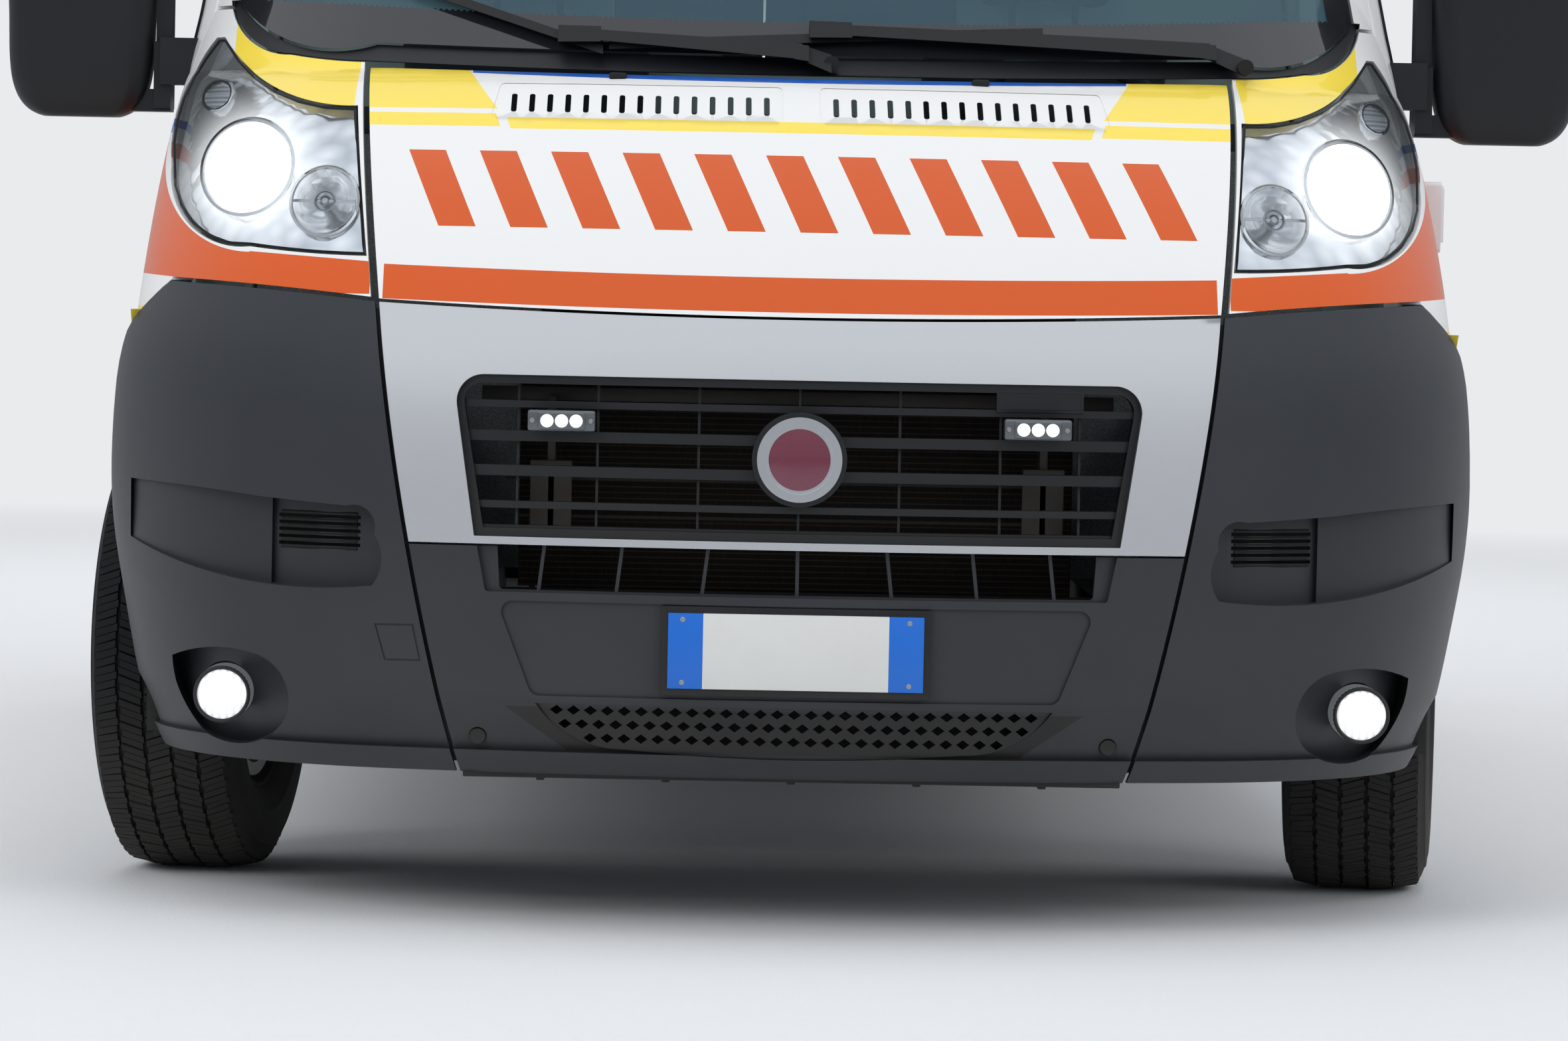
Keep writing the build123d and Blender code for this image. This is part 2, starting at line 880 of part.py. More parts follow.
def side_mouldings():
    """Waist mouldings of the box, the sliding door's rail cover and its handle."""
    rear_start = front_overhang + wheelbase + rear_arch_radius + arch_lip + 20
    front_end = front_overhang + wheelbase - rear_arch_radius - arch_lip - 20
    spans_left = [(cab_back + 3, front_end), (rear_start, body_back - 120)]
    spans_right = [(slide_door_front + 2, slide_door_back - 2), (slide_door_back + 12, front_end)]
    spans_right.append((rear_start, body_back - 120))
    left = [moulding_strip(moulding_low, moulding_high, a, b, moulding_out) for a, b in spans_left]
    right = [moulding_strip(moulding_low, moulding_high, a, b, moulding_out) for a, b in spans_right]
    x_rail = side_at(1235)
    rail = block(x_rail - 4, x_rail + 13, slide_door_back + 14, body_back - 150, 1215, 1255)
    x_grip = side_at(1118)
    grip = fused(
        block(x_grip - 20, x_grip + 34, 2232, 2256, 1105, 1130),
        block(x_grip - 20, x_grip + 34, 2372, 2394, 1105, 1130),
        block(x_grip + 18, x_grip + 36, 2232, 2394, 1103, 1133),
    )
    fittings = cut_all([rail, grip], body_box(0, 2160, body_back))
    return left + mirrored(right, fittings)


# Bumper, grille surround and grille
def bumper_skin(wall, start=0):
    """The bumper's wall from start inwards, with its skin falling back above the chin."""
    key = ("skin", wall, start)
    if key not in Form.made:
        skin = cut_all(bumper_form(start), level_loft(BUMPER, start + wall, 950, reach=6))
        Form.made[key] = skin if start else cut_all(skin, chin_cut())
    return Form.made[key]


def chin_cut():
    """What lies in front of the skin between the chin's crease and the plate's height."""
    band = block(-1100, 1100, -60, 700, chin_crease, chin_top)
    return cut_all(band, level_loft(CHIN, 0, 900))


def bumper_form(depth):
    """The bumper's shape under its skin by a depth, kept for each depth."""
    key = ("form", depth)
    if key not in Form.made:
        Form.made[key] = level_loft(BUMPER, depth, 900)
    return Form.made[key]


def pocket(outline, depth):
    """Everything inside an outline that lies less than a depth under the bumper's skin."""
    return cut_all(outline, bumper_form(depth))


def centre_outline(grow=0):
    """Between the two seams of the bumper, seen from the front."""
    g = grow
    return front_prism(
        (-476 - g, 200),
        [
            (-476 - g, 222),
            ((-555 - g, 560), (-606 - g, 892)),
            (-606 - g, 930),
            (606 + g, 930),
            (606 + g, 892),
            ((555 + g, 560), (476 + g, 222)),
            (476 + g, 200),
        ],
        -60,
        500,
    )


def bonnet_edge_cut(grow):
    """What lies above the bonnet's lower edge."""
    return front_prism(
        (-620, 892 - grow),
        [((0, 877 - grow), (620, 892 - grow)), (620, 1000), (-620, 1000)],
        -60,
        500,
    )


def grille_opening(grow=0):
    g = grow
    face_points = [(-457 - g, 562 - g), (457 + g, 562 - g), (492 + g, 790 + g), (-492 - g, 790 + g)]
    wire = wire_through(lambda x, z: (x, at(-60), z), face_points[0], face_points[1:])
    face = Face(wire)
    top = [v for v in face.vertices() if v.Z > 700]
    low = [v for v in face.vertices() if v.Z < 700]
    face = face.fillet_2d(38 + g, top).fillet_2d(4, low)
    return Solid.extrude(face, Vector(0, 400, 0))


def grille_surround():
    skin = common(bumper_skin(bumper_wall), centre_outline(-panel_gap / 2))
    below = block(-700, 700, -60, 600, 100, surround_bottom)
    return cut_all(skin, below, bonnet_edge_cut(2), grille_opening(0))


GRILLE_BARS = [
    # height, half thickness
    (749, 5),
    (704, 7.5),
    (655, 7.5),
    (607, 5),
    (573, 5),
]
GRILLE_RIBS = [0, 142, 285, 398]


def grille():
    opening = grille_opening(-0.4)
    ring = arc_plate(540, 8, 40, 550, 805, 0.12)
    body = cut_all(common(ring, opening), grille_opening(-12))
    for z, half in GRILLE_BARS:
        setback = 14 + (z - 555) * 0.13
        body = fused(body, common(arc_plate(540, setback, 28, z - half, z + half), grille_opening(-5)))
    for x in GRILLE_RIBS:
        back = 26 + sag(x)
        outline = [(back + 30, 786), (back + 42, 786), (back + 12, 565)]
        rib = side_prism((back, 565), outline, x - 1.8, x + 1.8)
        body = fused(body, both_sides(rib) if x else rib)
    return fused(body, cylinder_y(badge_boss_radius, 0, 7, 52, emblem_height))


def badge():
    disc = cylinder_y(badge_radius, 0, 0, 7, emblem_height)
    return cut_all(disc, cylinder_y(badge_radius - 12, 0, -3, 4, emblem_height))


def lower_intake():
    return rounded_front_prism([(-420, 487), (420, 487), (424, 552), (-424, 552)], 6, -60, 120)


def intake_outline():
    return rounded_front_prism([(-440, 484), (440, 484), (455, 560), (-455, 560)], 5, -60, 200)


def plate_outline():
    """The shallow field that the number plate sits in."""
    return rounded_front_prism([(-372, 338), (372, 338), (424, 472), (-424, 472)], 16, -60, 200)


def mesh_opening(grow=0):
    g = grow
    return front_prism(
        (-366 - g, 327 + g),
        [
            ((-322 - g, 284 - g), (-240, 262 - g)),
            ((0, 252 - g), (240, 262 - g)),
            ((322 + g, 284 - g), (366 + g, 327 + g)),
            (-366 - g, 327 + g),
        ],
        -60,
        130,
    )


def mesh_panel():
    """Leaning plate with three rows of diamond holes."""
    plate = arc_plate(380, 52, 6, 246, 334, -0.42)
    holes = []
    for row in range(3):
        z = 318 - row * 20
        for col in range(-15, 16):
            x = (col + 0.5 * (row % 2)) * 24
            if abs(x) + 12 < 366 - (327 - z) * (327 - z) / 50:
                holes.append(front_prism((x - 9.5, z), [(x, z + 7), (x + 9.5, z), (x, z - 7)], -20, 130))
    return cut_all(common(plate, mesh_opening(-0.3)), holes)


def bumper_centre():
    skin = common(bumper_skin(bumper_wall), centre_outline(-panel_gap / 2))
    plugs = both_sides(cylinder_y(plug_radius, 448, -60, 150, 276))
    upper = block(-700, 700, -60, 600, surround_bottom - 3, 1000)
    fields = pocket(intake_outline(), intake_recess) + pocket(plate_outline(), plate_recess)
    skin = cut_all(skin, upper, fields, lower_intake(), mesh_opening(), plugs)
    ribs = []
    for x in (0, 126, 247, 357):
        lean = 8 if x else 0
        outline = [(x + 2.5 + lean, 483), (x + 2.5, 551), (x - 2.5, 551)]
        front = intake_recess + 2 + sag(x)
        rib = front_prism((x - 2.5 + lean, 483), outline, front, front + 9)
        ribs += both_sides(rib) if x else [rib]
    return [fused(skin, ribs), mesh_panel()]


def vent_outline(grow=0):
    """The scoop of the side vent: louvres at its inner end, fading out at its outer end."""
    g = grow
    return front_prism(
        (976 + g, 536 - g),
        [
            (976 + g, 622 + g),
            ((880, 618 + g), (770, 608 + g)),
            (640 - g * 0.5, 599 + g),
            ((606 - g, 590 + g), (600 - g, 560)),
            ((591 - g, 508), (602 - g * 0.5, 487 - g)),
            ((800, 488 - g), (976 + g, 536 - g)),
        ],
        -60,
        620,
    )


def vent_scoop():
    """The scoop's hollow: level behind the louvres, then a curved ramp out to the skin."""
    start, middle, end = vent_ramp
    inner = common(pocket(vent_outline(), vent_depth), block(0, start[0], -60, 700, 400, 700))
    ramp = plan_prism((start[0], -60), [start, (middle, end), (end[0], -60)], 400, 700)
    return inner + common(vent_outline(), ramp)


def fog_outline(grow=0):
    g = grow
    return front_prism(
        (903 + g, 368 + g),
        [
            ((840, 386 + g), (768 - g * 0.5, 380 + g)),
            ((722 - g, 322), (752 - g * 0.5, 262 - g)),
            ((800, 246 - g), (858 + g, 262 - g)),
            ((890 + g, 310), (903 + g, 368 + g)),
        ],
        -60,
        420,
    )


def bumper_corner():
    region = cut_all(
        bumper_top_prism(0),
        centre_outline(panel_gap / 2),
        arch_cut(arch_radius, front_overhang),
        block(-1200, 0, -100, 1500, 0, 1000),
    )
    skin = common(bumper_skin(bumper_wall), region)
    pads = common(bumper_form(0), vent_outline(7)) + common(bumper_form(0), fog_outline(7))
    behind = level_loft(BUMPER, vent_pad, 950, reach=6)
    pads = cut_all(pads, behind, chin_cut(), arch_cut(arch_radius, front_overhang))
    solid = fused(skin, pads, seam_backing())
    slots = [block(622, 742, -60, 300, 541 + 10 * i - 2.5, 541 + 10 * i + 2.5) for i in range(5)]
    bore = cylinder_y(fog_radius + 1, fog_place, -60, 420, lamp_height)
    return cut_all(solid, vent_scoop(), pocket(fog_outline(), fog_depth), slots, bore)


def seam_backing():
    """Tongue of the corner that lies behind the centre panel along their seam."""
    beside = common(bumper_skin(6, bumper_wall - 3), centre_outline(panel_gap / 2 + 12))
    beside = cut_all(beside, centre_outline(panel_gap / 2))
    behind = common(bumper_skin(6, bumper_wall + 0.5), centre_outline(panel_gap / 2 + 12))
    behind = cut_all(behind, centre_outline(-panel_gap / 2 - seam_tongue))
    side = block(0, 1100, -20, 600, 236, 880)
    return fused(common(beside, side) + common(behind, side))


def tow_cover_groove():
    """Thin groove round the cover of the towing eye, on the right-hand corner only."""
    outer = front_prism((-597, 433.5), [(-541, 434.5), (-530, 382), (-582, 381.5)], -60, 200)
    w = groove_width
    inner = front_prism(
        (-597 + w, 433.5 - w),
        [(-541 - w, 434.5 - w), (-530 - w, 382 + w), (-582 + w, 381.5 + w)],
        -60,
        200,
    )
    ring = outer.cut(inner)
    return pocket(ring, groove_depth)


def fog_lamp():
    bowl = cylinder_y(fog_radius, fog_place, 175, 245, lamp_height)
    return solids_of(bowl)[0]


# Headlamps: a clear lens over a housing with three bowls
LAMP_BOWLS = [
    # x, height, radius, rim setback, depth
    (819, 1085, 77, 470, 70),
    (694, 1034, 54, 360, 55),
    (886, 1198, 28, 760, 40),
]


def headlamp_lens():
    return cab_panel(headlamp_outline(0), lens_wall + 1, 1)


def headlamp_housing():
    block_in = cab_panel(headlamp_outline(-3, -40, 985), 60, 22)
    tools = []
    cups = []
    for x, z, radius, rim, depth in LAMP_BOWLS:
        tools.append(cylinder_y(radius, x, 100, rim + 400, z))
        wall = cylinder_y(radius, x, rim, rim + depth, z)
        bowl = cylinder_y(radius - 4, x, rim - 1, rim + depth - 5, z)
        cups += cut_all(wall, bowl)
    body = cut_all(block_in, *tools)
    cups = cut_all(cups, headlamp_back(6 + lens_wall))
    return fused(body, cups)


def headlamp_back(inset):
    """Everything in front of the housing's own surface, so that bowls stay behind the lens."""
    whole = front_prism((560, 900), [(1050, 900), (1050, 1320), (560, 1320)], -40, 1150)
    return cut_all(whole, Form.parts(inset)[0], Form.parts(inset)[1])


# Wipers lying on the scuttle
def ribbon(x0, z0, x1, z1, half0, half1, near, far):
    """Bar between two points of the windscreen, from near to far in front of it."""
    outline = [(x1, z1 - half1), (x1, z1 + half1), (x0, z0 + half0)]
    bar = front_prism((x0, z0 - half0), outline, -60, 1400)
    return cut_all(common(Form.parts(-far)[1], bar), Form.parts(-near)[1])


# Wipers: pivot x and height, elbow x and height, arm end x and height,
# then the blade's two ends and how far its spindle reaches behind the screen's skin
WIPERS = [
    (46, 1256, 2, 1274, -330, 1296, -296, 1272, -812, 1446, -3),
    (676, 1268, 622, 1292, 47, 1309, -287, 1280, 366, 1313, 14),
]


def wipers():
    found = []
    for pivot_x, pivot_z, elbow_x, elbow_z, end_x, end_z, x0, z0, x1, z1, sink in WIPERS:
        near, far = sorted([(x0, z0), (x1, z1)])
        blade = ribbon(*near, *far, 7, 7, 3, blade_depth)
        arm = ribbon(end_x, end_z, elbow_x, elbow_z, 8, 12, blade_depth - 4, arm_depth)
        link = ribbon(end_x - 34, end_z, end_x + 30, end_z, 13, 12, 4, arm_depth)
        elbow = ribbon(elbow_x - 4, elbow_z, pivot_x, pivot_z, 12, 14, 6, blade_depth)
        knee = ribbon(elbow_x - 12, elbow_z, elbow_x + 10, elbow_z - 3, 12, 12, 6, arm_depth)
        skin = screen_setback(pivot_x, pivot_z)
        spindle = cylinder_y(12, pivot_x, skin - blade_depth + 2, skin + sink, pivot_z)
        found.append(fused(blade, link, arm, knee, elbow, spindle))
    return found


def screen_setback(x, z):
    """How far back the windscreen's skin lies at a place on its front arc."""
    low, high = SCREEN[0], SCREEN[1]
    share = (z - low[0]) / (high[0] - low[0])
    return low[1] + (high[1] - low[1]) * share + sag(min(abs(x), 620), low[3])


# Floor, firewall and bulkhead
def floor():
    slab = block(-925, 925, 1400, body_back - rear_wall - 6, 470, 505)
    cab = block(-900, 900, 1060, 1400, 470, 505)
    wall = block(-840, 840, 1060, 1085, 500, 1150)
    wells = []
    for side in (1, -1):
        a, b = (600, 925) if side > 0 else (-925, -600)
        well = block(a, b, 3960, 4836, 500, 790)
        wells += cut_all(well, block(a + 25 * (side > 0), b - 25 * (side < 0), 3985, 4811, 400, 765))
    base = fused(slab, cab, wall, wells)
    holes = [block(625, 1000, 3985, 4811, 400, 765), block(-1000, -625, 3985, 4811, 400, 765)]
    well_radius = arch_radius - liner_gap + liner_seat
    front_wells = cylinder_x(well_radius, liner_inner - liner_seat, 1000, front_overhang, tyre_radius)
    front_wells = both_sides(front_wells)
    return cut_all(base, holes, front_wells)


def bulkhead():
    inner = body_box(pillar_wall + 5, cab_back - 16, cab_back + 10)
    panel = common(inner, block(-1000, 1000, 2000, 2300, 506, 2300))
    hatch = rounded_front_prism([(-300, 1300), (300, 1300), (300, 1700), (-300, 1700)], 40, 2000, 2300)
    return cut_all(panel, hatch)


def arch_liner():
    """Moulded liner of a front wheel arch, with a wall on the engine's side."""
    outer_radius = arch_radius - liner_gap
    inner_radius = outer_radius - liner_wall
    shell = cylinder_x(outer_radius, liner_inner, liner_outer, front_overhang, tyre_radius)
    inside = liner_inner + liner_wall
    shell = cut_all(shell, cylinder_x(inner_radius, inside, liner_outer + 5, front_overhang, tyre_radius))
    front_cut = block(500, 1000, 300, front_overhang, -100, 240)
    back_cut = block(500, 1000, front_overhang - 1, 1500, -100, 400)
    link_hole = block(500, inside + 1, 500, 1400, 0, 450)
    return cut_all(shell, front_cut, back_cut, link_hole)


# White box of the outside power inlet, on the left wing
def side_inlet():
    body = rounded_side_prism([(908, 996), (1000, 996), (1000, 1106), (908, 1106)], 8, 940, 1008)
    lid = rounded_side_prism([(914, 1012), (994, 1012), (994, 1100), (914, 1100)], 6, 1007, 1013)
    return cut_all(fused(body, lid), Form.parts(0)[0])


# Interior
def dashboard():
    top = side_prism(
        (1120, 900),
        [(1300, 900), (1420, 1010), (1400, 1100), ((1330, 1170), (1240, 1195)), (1120, 1195)],
        -840,
        840,
    )
    tilt = (0, 0.86, 0.5)
    column = Solid.make_cylinder(28, 210, Plane(origin=(450, at(1385), 1040), z_dir=tilt))
    wheel = Solid.make_torus(190, 15, Plane(origin=(450, at(1560), 1145), z_dir=tilt))
    hub = Solid.make_cylinder(60, 30, Plane(origin=(450, at(1545), 1135), z_dir=tilt))
    bars = Solid.make_box(372, 36, 12, Plane(origin=(264, at(1543), 1145), x_dir=(1, 0, 0), z_dir=tilt))
    return [fused(top, column, hub, bars, wheel)]


def seat(x, half):
    base = block(x - half + 30, x + half - 30, 1600, 1980, 506, 700)
    shape = [(1540, 800), ((1570, 830), (1620, 832)), (2020, 812), (2020, 700)]
    cushion = side_prism((1540, 700), shape, x - half, x + half)
    back = side_prism((1930, 812), [(2040, 820), (2118, 1380), (2030, 1400)], x - half, x + half)
    head = side_prism((2050, 1400), [(2120, 1400), (2128, 1560), (2060, 1570)], x - 130, x + 130)
    return fused(base, cushion, back, head)


def cab_seats():
    return [seat(450, 250), seat(-450, 250)]


def stretcher():
    tubes = [block(x - 14, x + 14, 2900, 4850, 900, 938) for x in (-276, 276)]
    bars = [block(-280, 280, s - 14, s + 14, 904, 934) for s in (2916, 3150, 3560, 4150, 4560, 4834)]
    bed = block(-262, 262, 2930, 4820, 926, 938)
    legs = []
    for x in (-240, 240):
        for s in (3150, 4560):
            legs.append(block(x - 18, x + 18, s - 18, s + 18, 590, 900))
            legs.append(cylinder_x(75, x - 18, x + 18, s, 581))
    rails = []
    for x in (-284, 284):
        rails += [block(x - 6, x + 6, s - 10, s + 10, 930, 1150) for s in (3320, 3850, 4380)]
        rails += [block(x - 6, x + 6, 3310, 4390, z, z + 16) for z in (1040, 1140)]
    return fused(bed, tubes, bars, legs, rails)


def stretcher_pad():
    return block(-264, 264, 2925, 4825, 938.5, 1010)


def cabinets():
    body = block(520, 850, 2215, 3900, 506, 1120)
    top = block(560, 812, 2215, 3900, 1900, 2250)
    niche = block(500, 800, 2300, 3000, 600, 1080)
    return [cut_all(body, niche), top]


# Running gear
def wheel_place(side, front):
    track = track_front if front else track_rear
    setback = front_overhang if front else front_overhang + wheelbase
    return side * track / 2, setback


def tyre_solid():
    """Tyre about the X axis at the origin, open for its rim."""
    h = tyre_width / 2
    r = tyre_radius
    b = rim_radius
    bead = rim_width / 2 - 12.5
    flange = rim_width / 2 - 8.5
    edges = [Edge.make_line((-bead, 0, b + 0.5), (bead, 0, b + 0.5))]
    for side in (1, -1):
        edges.append(Edge.make_line((side * bead, 0, b + 0.5), (side * flange, 0, b + 16)))
        edges.append(
            Edge.make_three_point_arc(
                (side * flange, 0, b + 16), (side * h, 0, (b + r) / 2 + 8), (side * (h - 16), 0, r - 12)
            )
        )
        edges.append(Edge.make_line((side * (h - 16), 0, r - 12), (side * (h - 30), 0, r - 2)))
        edges.append(Edge.make_line((side * (h - 30), 0, r - 2), (0, 0, r)))
    profile = Face(Wire(edges))
    return Solid.revolve(profile, 360, Axis.X)


def rim_solid():
    """Pressed steel wheel with its hub, seen with the outer face towards +X."""
    b = rim_radius
    w = rim_width / 2
    pts = [
        (-w, b - 6),
        (-w, b + 14),
        (-w + 8, b + 14),
        (-w + 12, b),
        (w - 12, b),
        (w - 8, b + 14),
        (w, b + 14),
        (w, b - 6),
        (w - 20, b - 12),
        (30, b - 20),
        (38, 120),
        (52, 92),
        (52, 70),
        (78, 60),
        (80, 0),
        (-10, 0),
        (-10, hub_radius),
        (36, hub_radius),
        (36, 88),
        (26, 116),
        (18, b - 34),
        (-w + 20, b - 16),
    ]
    face = Face(Wire.make_polygon([(x, 0, z) for x, z in pts], close=True))
    solid = Solid.revolve(face, 360, Axis.X)
    holes = []
    for i in range(12):
        a = math.radians(30 * i)
        plane = Plane(origin=(0, 138 * math.cos(a), 138 * math.sin(a)), z_dir=(1, 0, 0))
        holes.append(Solid.make_cylinder(13, 90, plane))
    return cut_all(solid, holes)


def disc_solid():
    plane = Plane(origin=(disc_inner_face, 0, 0), z_dir=(1, 0, 0))
    return Solid.make_cylinder(disc_radius, disc_wall, plane)


def place_wheel(shape, side, front):
    x, setback = wheel_place(side, front)
    solids = mirrored(shape) if side < 0 else solids_of(shape)
    placed = [s.moved(Location((x, at(setback), tyre_radius))) for s in solids]
    return steered(placed, side) if front else placed


def steered(shape, side):
    """Turn a front corner about its kingpin to the angle of the parked pose."""
    x = side * (track_front / 2 - kingpin_inset)
    axis = Axis((x, front_axle_y, 0), (0, 0, 1))
    return [s.rotate(axis, -steer_at_rest) for s in solids_of(shape)]


def knuckle():
    x_in = track_front / 2 - kingpin_inset
    s, z = front_overhang, tyre_radius
    upright = block(x_in - 24, x_in - 2, s - 30, s + 30, z - 100, z + 110)
    boss = cylinder_x(48, x_in - 30, track_front / 2 + disc_inner_face - joint_clearance, s, z)
    tie_arm = block(x_in - 24, x_in - 4, s - 148, s, z - 30, z + 20)
    web = block(x_in - 20, x_in - 4, s + 20, s + 142, z - 40, z + 40)
    caliper = block(x_in - 20, x_in + 40, s + 124, s + 142, z - 42, z + 42)
    cup = cylinder_z(ball_joint_radius + 3, x_in, s, link_top + joint_clearance, z - 86)
    stud = cylinder_z(ball_joint_radius, x_in, s, link_top + 0.5, link_top + joint_clearance + 1)
    return fused(upright, boss, tie_arm, web, caliper, cup, stud)


def front_subframe():
    cross = block(-470, 470, 830, 1060, 200, 260)
    rails = [block(x - 35, x + 35, 300, 1390, 400, 470) for x in (-485, 485)]
    posts = [block(x - 25, x + 25, 900, 1000, 215, 405) for x in (-445, 445)]
    beam = block(-560, 560, 240, 262, 400, 480)
    ties = [block(x - 30, x + 30, 255, 310, 405, 465) for x in (-485, 485)]
    arms = []
    ball = track_front / 2 - kingpin_inset
    for side in (1, -1):
        near, far = sorted((side * 460, side * ball))
        arms.append(block(near, far, front_overhang - 22, front_overhang + 22, link_top - 22, link_top))
        arms.append(cylinder_z(26, side * ball, front_overhang, link_top - 22, link_top))
    floor_link = block(-560, 560, 1330, 1410, 440, 470)
    return fused(cross, rails, posts, beam, ties, arms, floor_link)


def engine():
    return [block(-380, 420, 560, 930, 380, 1000)]


def radiator():
    core = block(-400, 400, 262, 300, 482, 860)
    return [core]


def rear_axle():
    centre = front_overhang + wheelbase
    beam = cylinder_x(42, 45 - track_rear / 2, track_rear / 2 - 45, centre, tyre_radius)
    for side in (1, -1):
        x = side * 520
        under = side_prism(
            (3700, 452),
            [((centre, 272), (5080, 452)), (5080, 468), ((centre, 290), (3700, 468))],
            x - 32,
            x + 32,
        )
        saddle = block(x - 45, x + 45, centre - 60, centre + 60, 262, 338)
        shackles = [block(x - 24, x + 24, s - 20, s + 20, 455, 469.5) for s in (3715, 5065)]
        inner, outer = sorted((side * (track_rear / 2 - 99), side * (track_rear / 2 - 39)))
        stub = cylinder_x(60, inner, outer, centre, tyre_radius)
        beam = fused(fused(fused(beam, saddle), under), shackles)
        beam = fused(beam, stub)
    return beam


def fuel_tank():
    tank = rounded_side_prism([(2250, 250), (3250, 250), (3250, 466), (2250, 466)], 40, 150, 640)
    pipe = cylinder_y(32, -300, 1450, 4000, 380)
    muffler = cylinder_y(90, -300, 2700, 3300, 370)
    hangers = [block(-310, -290, s, s + 20, 380, 470) for s in (1600, 2600, 3900)]
    return [tank, fused(pipe, muffler, hangers)]


# Warning lights
def beacon_base():
    bar = rounded_front_prism([(-560, 2420), (560, 2420), (500, 2560), (-500, 2560)], 20, 2230, 2460)
    rear = both_sides(block(560, 760, 4900, 5060, 2440, 2530))
    return cut_all([bar, *rear], roof_form(0))


def beacons():
    bar = rounded_front_prism([(-540, 2561), (540, 2561), (500, 2640), (-500, 2640)], 24, 2240, 2450)
    rear = [cylinder_z(62, x, 4980, 2531, 2600) for x in (660, -660)]
    return [bar, *rear]


def grille_flashers():
    return [block(x - 48, x + 48, 18, 46, 712, 742) for x in (-336, 336)]


def main():
    keep("bonnet", bonnet())
    one_wing = wing()
    keep("front_wings", both_sides(one_wing))
    keep("cowl_panel", cowl())
    keep("windscreen", windscreen())
    keep("cab_frame", cab_frame())
    keep("roof_panel", roof())
    keep("box_sides", box_side(True), box_side(False))
    keep("sliding_door", sliding_door())
    keep("side_windows", side_windows())
    keep("rear_frame", rear_frame())
    door, glass, trim = front_door(), door_glass(), door_trim()
    rear, rear_pane = rear_door(), rear_door_glass()
    for tag, put in (("l", solids_of), ("r", mirrored)):
        keep("front_door_" + tag, put(door))
        keep("front_door_glass_" + tag, put(glass))
        keep("front_door_trim_" + tag, put(trim))
        keep("rear_door_" + tag, put(rear))
        keep("rear_door_glass_" + tag, put(rear_pane))
    keep("tail_lamps", both_sides(tail_lamp()))
    keep("rear_bumper", rear_bumper())
    keep("side_mouldings", side_mouldings())
    keep("grille_surround", grille_surround())
    keep("grille", grille())
    keep("badge_ring", badge())
    keep("bumper_centre", bumper_centre())
    corner = bumper_corner()
    keep("bumper_corners", corner, cut_all(mirrored(corner), tow_cover_groove()))
    keep("fog_lamps", both_sides(fog_lamp()))
    keep("headlamp_lenses", both_sides(headlamp_lens()))
    keep("headlamp_housings", both_sides(headlamp_housing()))
    keep("wipers", wipers())
    keep("grille_flashers", grille_flashers())
    keep("floor_pan", floor())
    keep("bulkhead", bulkhead())
    keep("arch_liners", both_sides(arch_liner()))
    keep("side_inlet", side_inlet())
    keep("dashboard", dashboard())
    keep("cab_seats", cab_seats())
    keep("stretcher", stretcher())
    keep("stretcher_pad", stretcher_pad())
    keep("cabinets", cabinets())
    keep("front_subframe", front_subframe())
    keep("engine_block", engine())
    keep("radiator", radiator())
    keep("rear_axle", rear_axle())
    keep("fuel_tank", fuel_tank())
    keep("beacon_bases", beacon_base())
    keep("beacons", beacons())
    for tag, side in (("l", 1), ("r", -1)):
        piece = knuckle() if side > 0 else mirrored(knuckle())
        keep("knuckle_" + tag, steered(piece, side))
        for place, front in (("front", True), ("rear", False)):
            keep(f"tyre_{place}_{tag}", place_wheel(tyre_solid(), side, front))
            keep(f"wheel_{place}_{tag}", place_wheel(fused(rim_solid(), disc_solid()), side, front))
    os.makedirs("parts", exist_ok=True)
    for name, shape in parts.items():
        export_step(shape, f"parts/{name}.step")


main()
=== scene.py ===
# %% [markdown]
# # A van ambulance, dressed over its frame
# The frame holds every panel of the vehicle as a plain solid. This script gives each
# of them a finish, softens the edges that a press tool would leave round, and adds
# what is too small for the solids: lamp bowls, seals, tread, screws and livery.

# %% Load the frame
import cmath
import json
import math

import bmesh
import bpy
from mathutils import Matrix, Vector
from mathutils.bvhtree import BVHTree


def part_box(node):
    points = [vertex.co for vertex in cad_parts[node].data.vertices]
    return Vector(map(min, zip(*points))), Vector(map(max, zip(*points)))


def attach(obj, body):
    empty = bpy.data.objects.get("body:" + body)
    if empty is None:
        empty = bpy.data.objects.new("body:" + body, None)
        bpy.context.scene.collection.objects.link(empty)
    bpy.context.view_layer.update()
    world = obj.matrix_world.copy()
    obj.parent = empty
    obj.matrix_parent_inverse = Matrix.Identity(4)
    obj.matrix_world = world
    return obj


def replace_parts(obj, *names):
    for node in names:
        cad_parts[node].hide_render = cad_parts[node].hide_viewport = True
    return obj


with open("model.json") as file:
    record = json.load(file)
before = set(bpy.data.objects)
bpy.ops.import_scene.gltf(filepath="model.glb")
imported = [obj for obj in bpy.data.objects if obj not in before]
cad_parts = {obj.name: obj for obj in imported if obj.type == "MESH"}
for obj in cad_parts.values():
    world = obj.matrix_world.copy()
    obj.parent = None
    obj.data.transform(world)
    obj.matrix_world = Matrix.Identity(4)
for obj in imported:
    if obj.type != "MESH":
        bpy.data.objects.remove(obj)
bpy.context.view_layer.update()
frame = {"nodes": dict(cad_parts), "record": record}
nodes = frame["nodes"]
print("frame pieces:", len(nodes))

# %% [markdown]
# The photograph was taken with a long lens from a little over eight metres, at about
# the height of the grille. A camera is three rotations and a place: turned about the
# upright axis, tipped, and rolled by the hand that held it.

# %% Camera
photo_width = 2361
focal_pixels = 9047
camera_place = Vector((-0.160, -11.1465, 0.920))
camera_turn, camera_tip, camera_roll = (math.radians(a) for a in (-0.948, -2.214, -1.150))

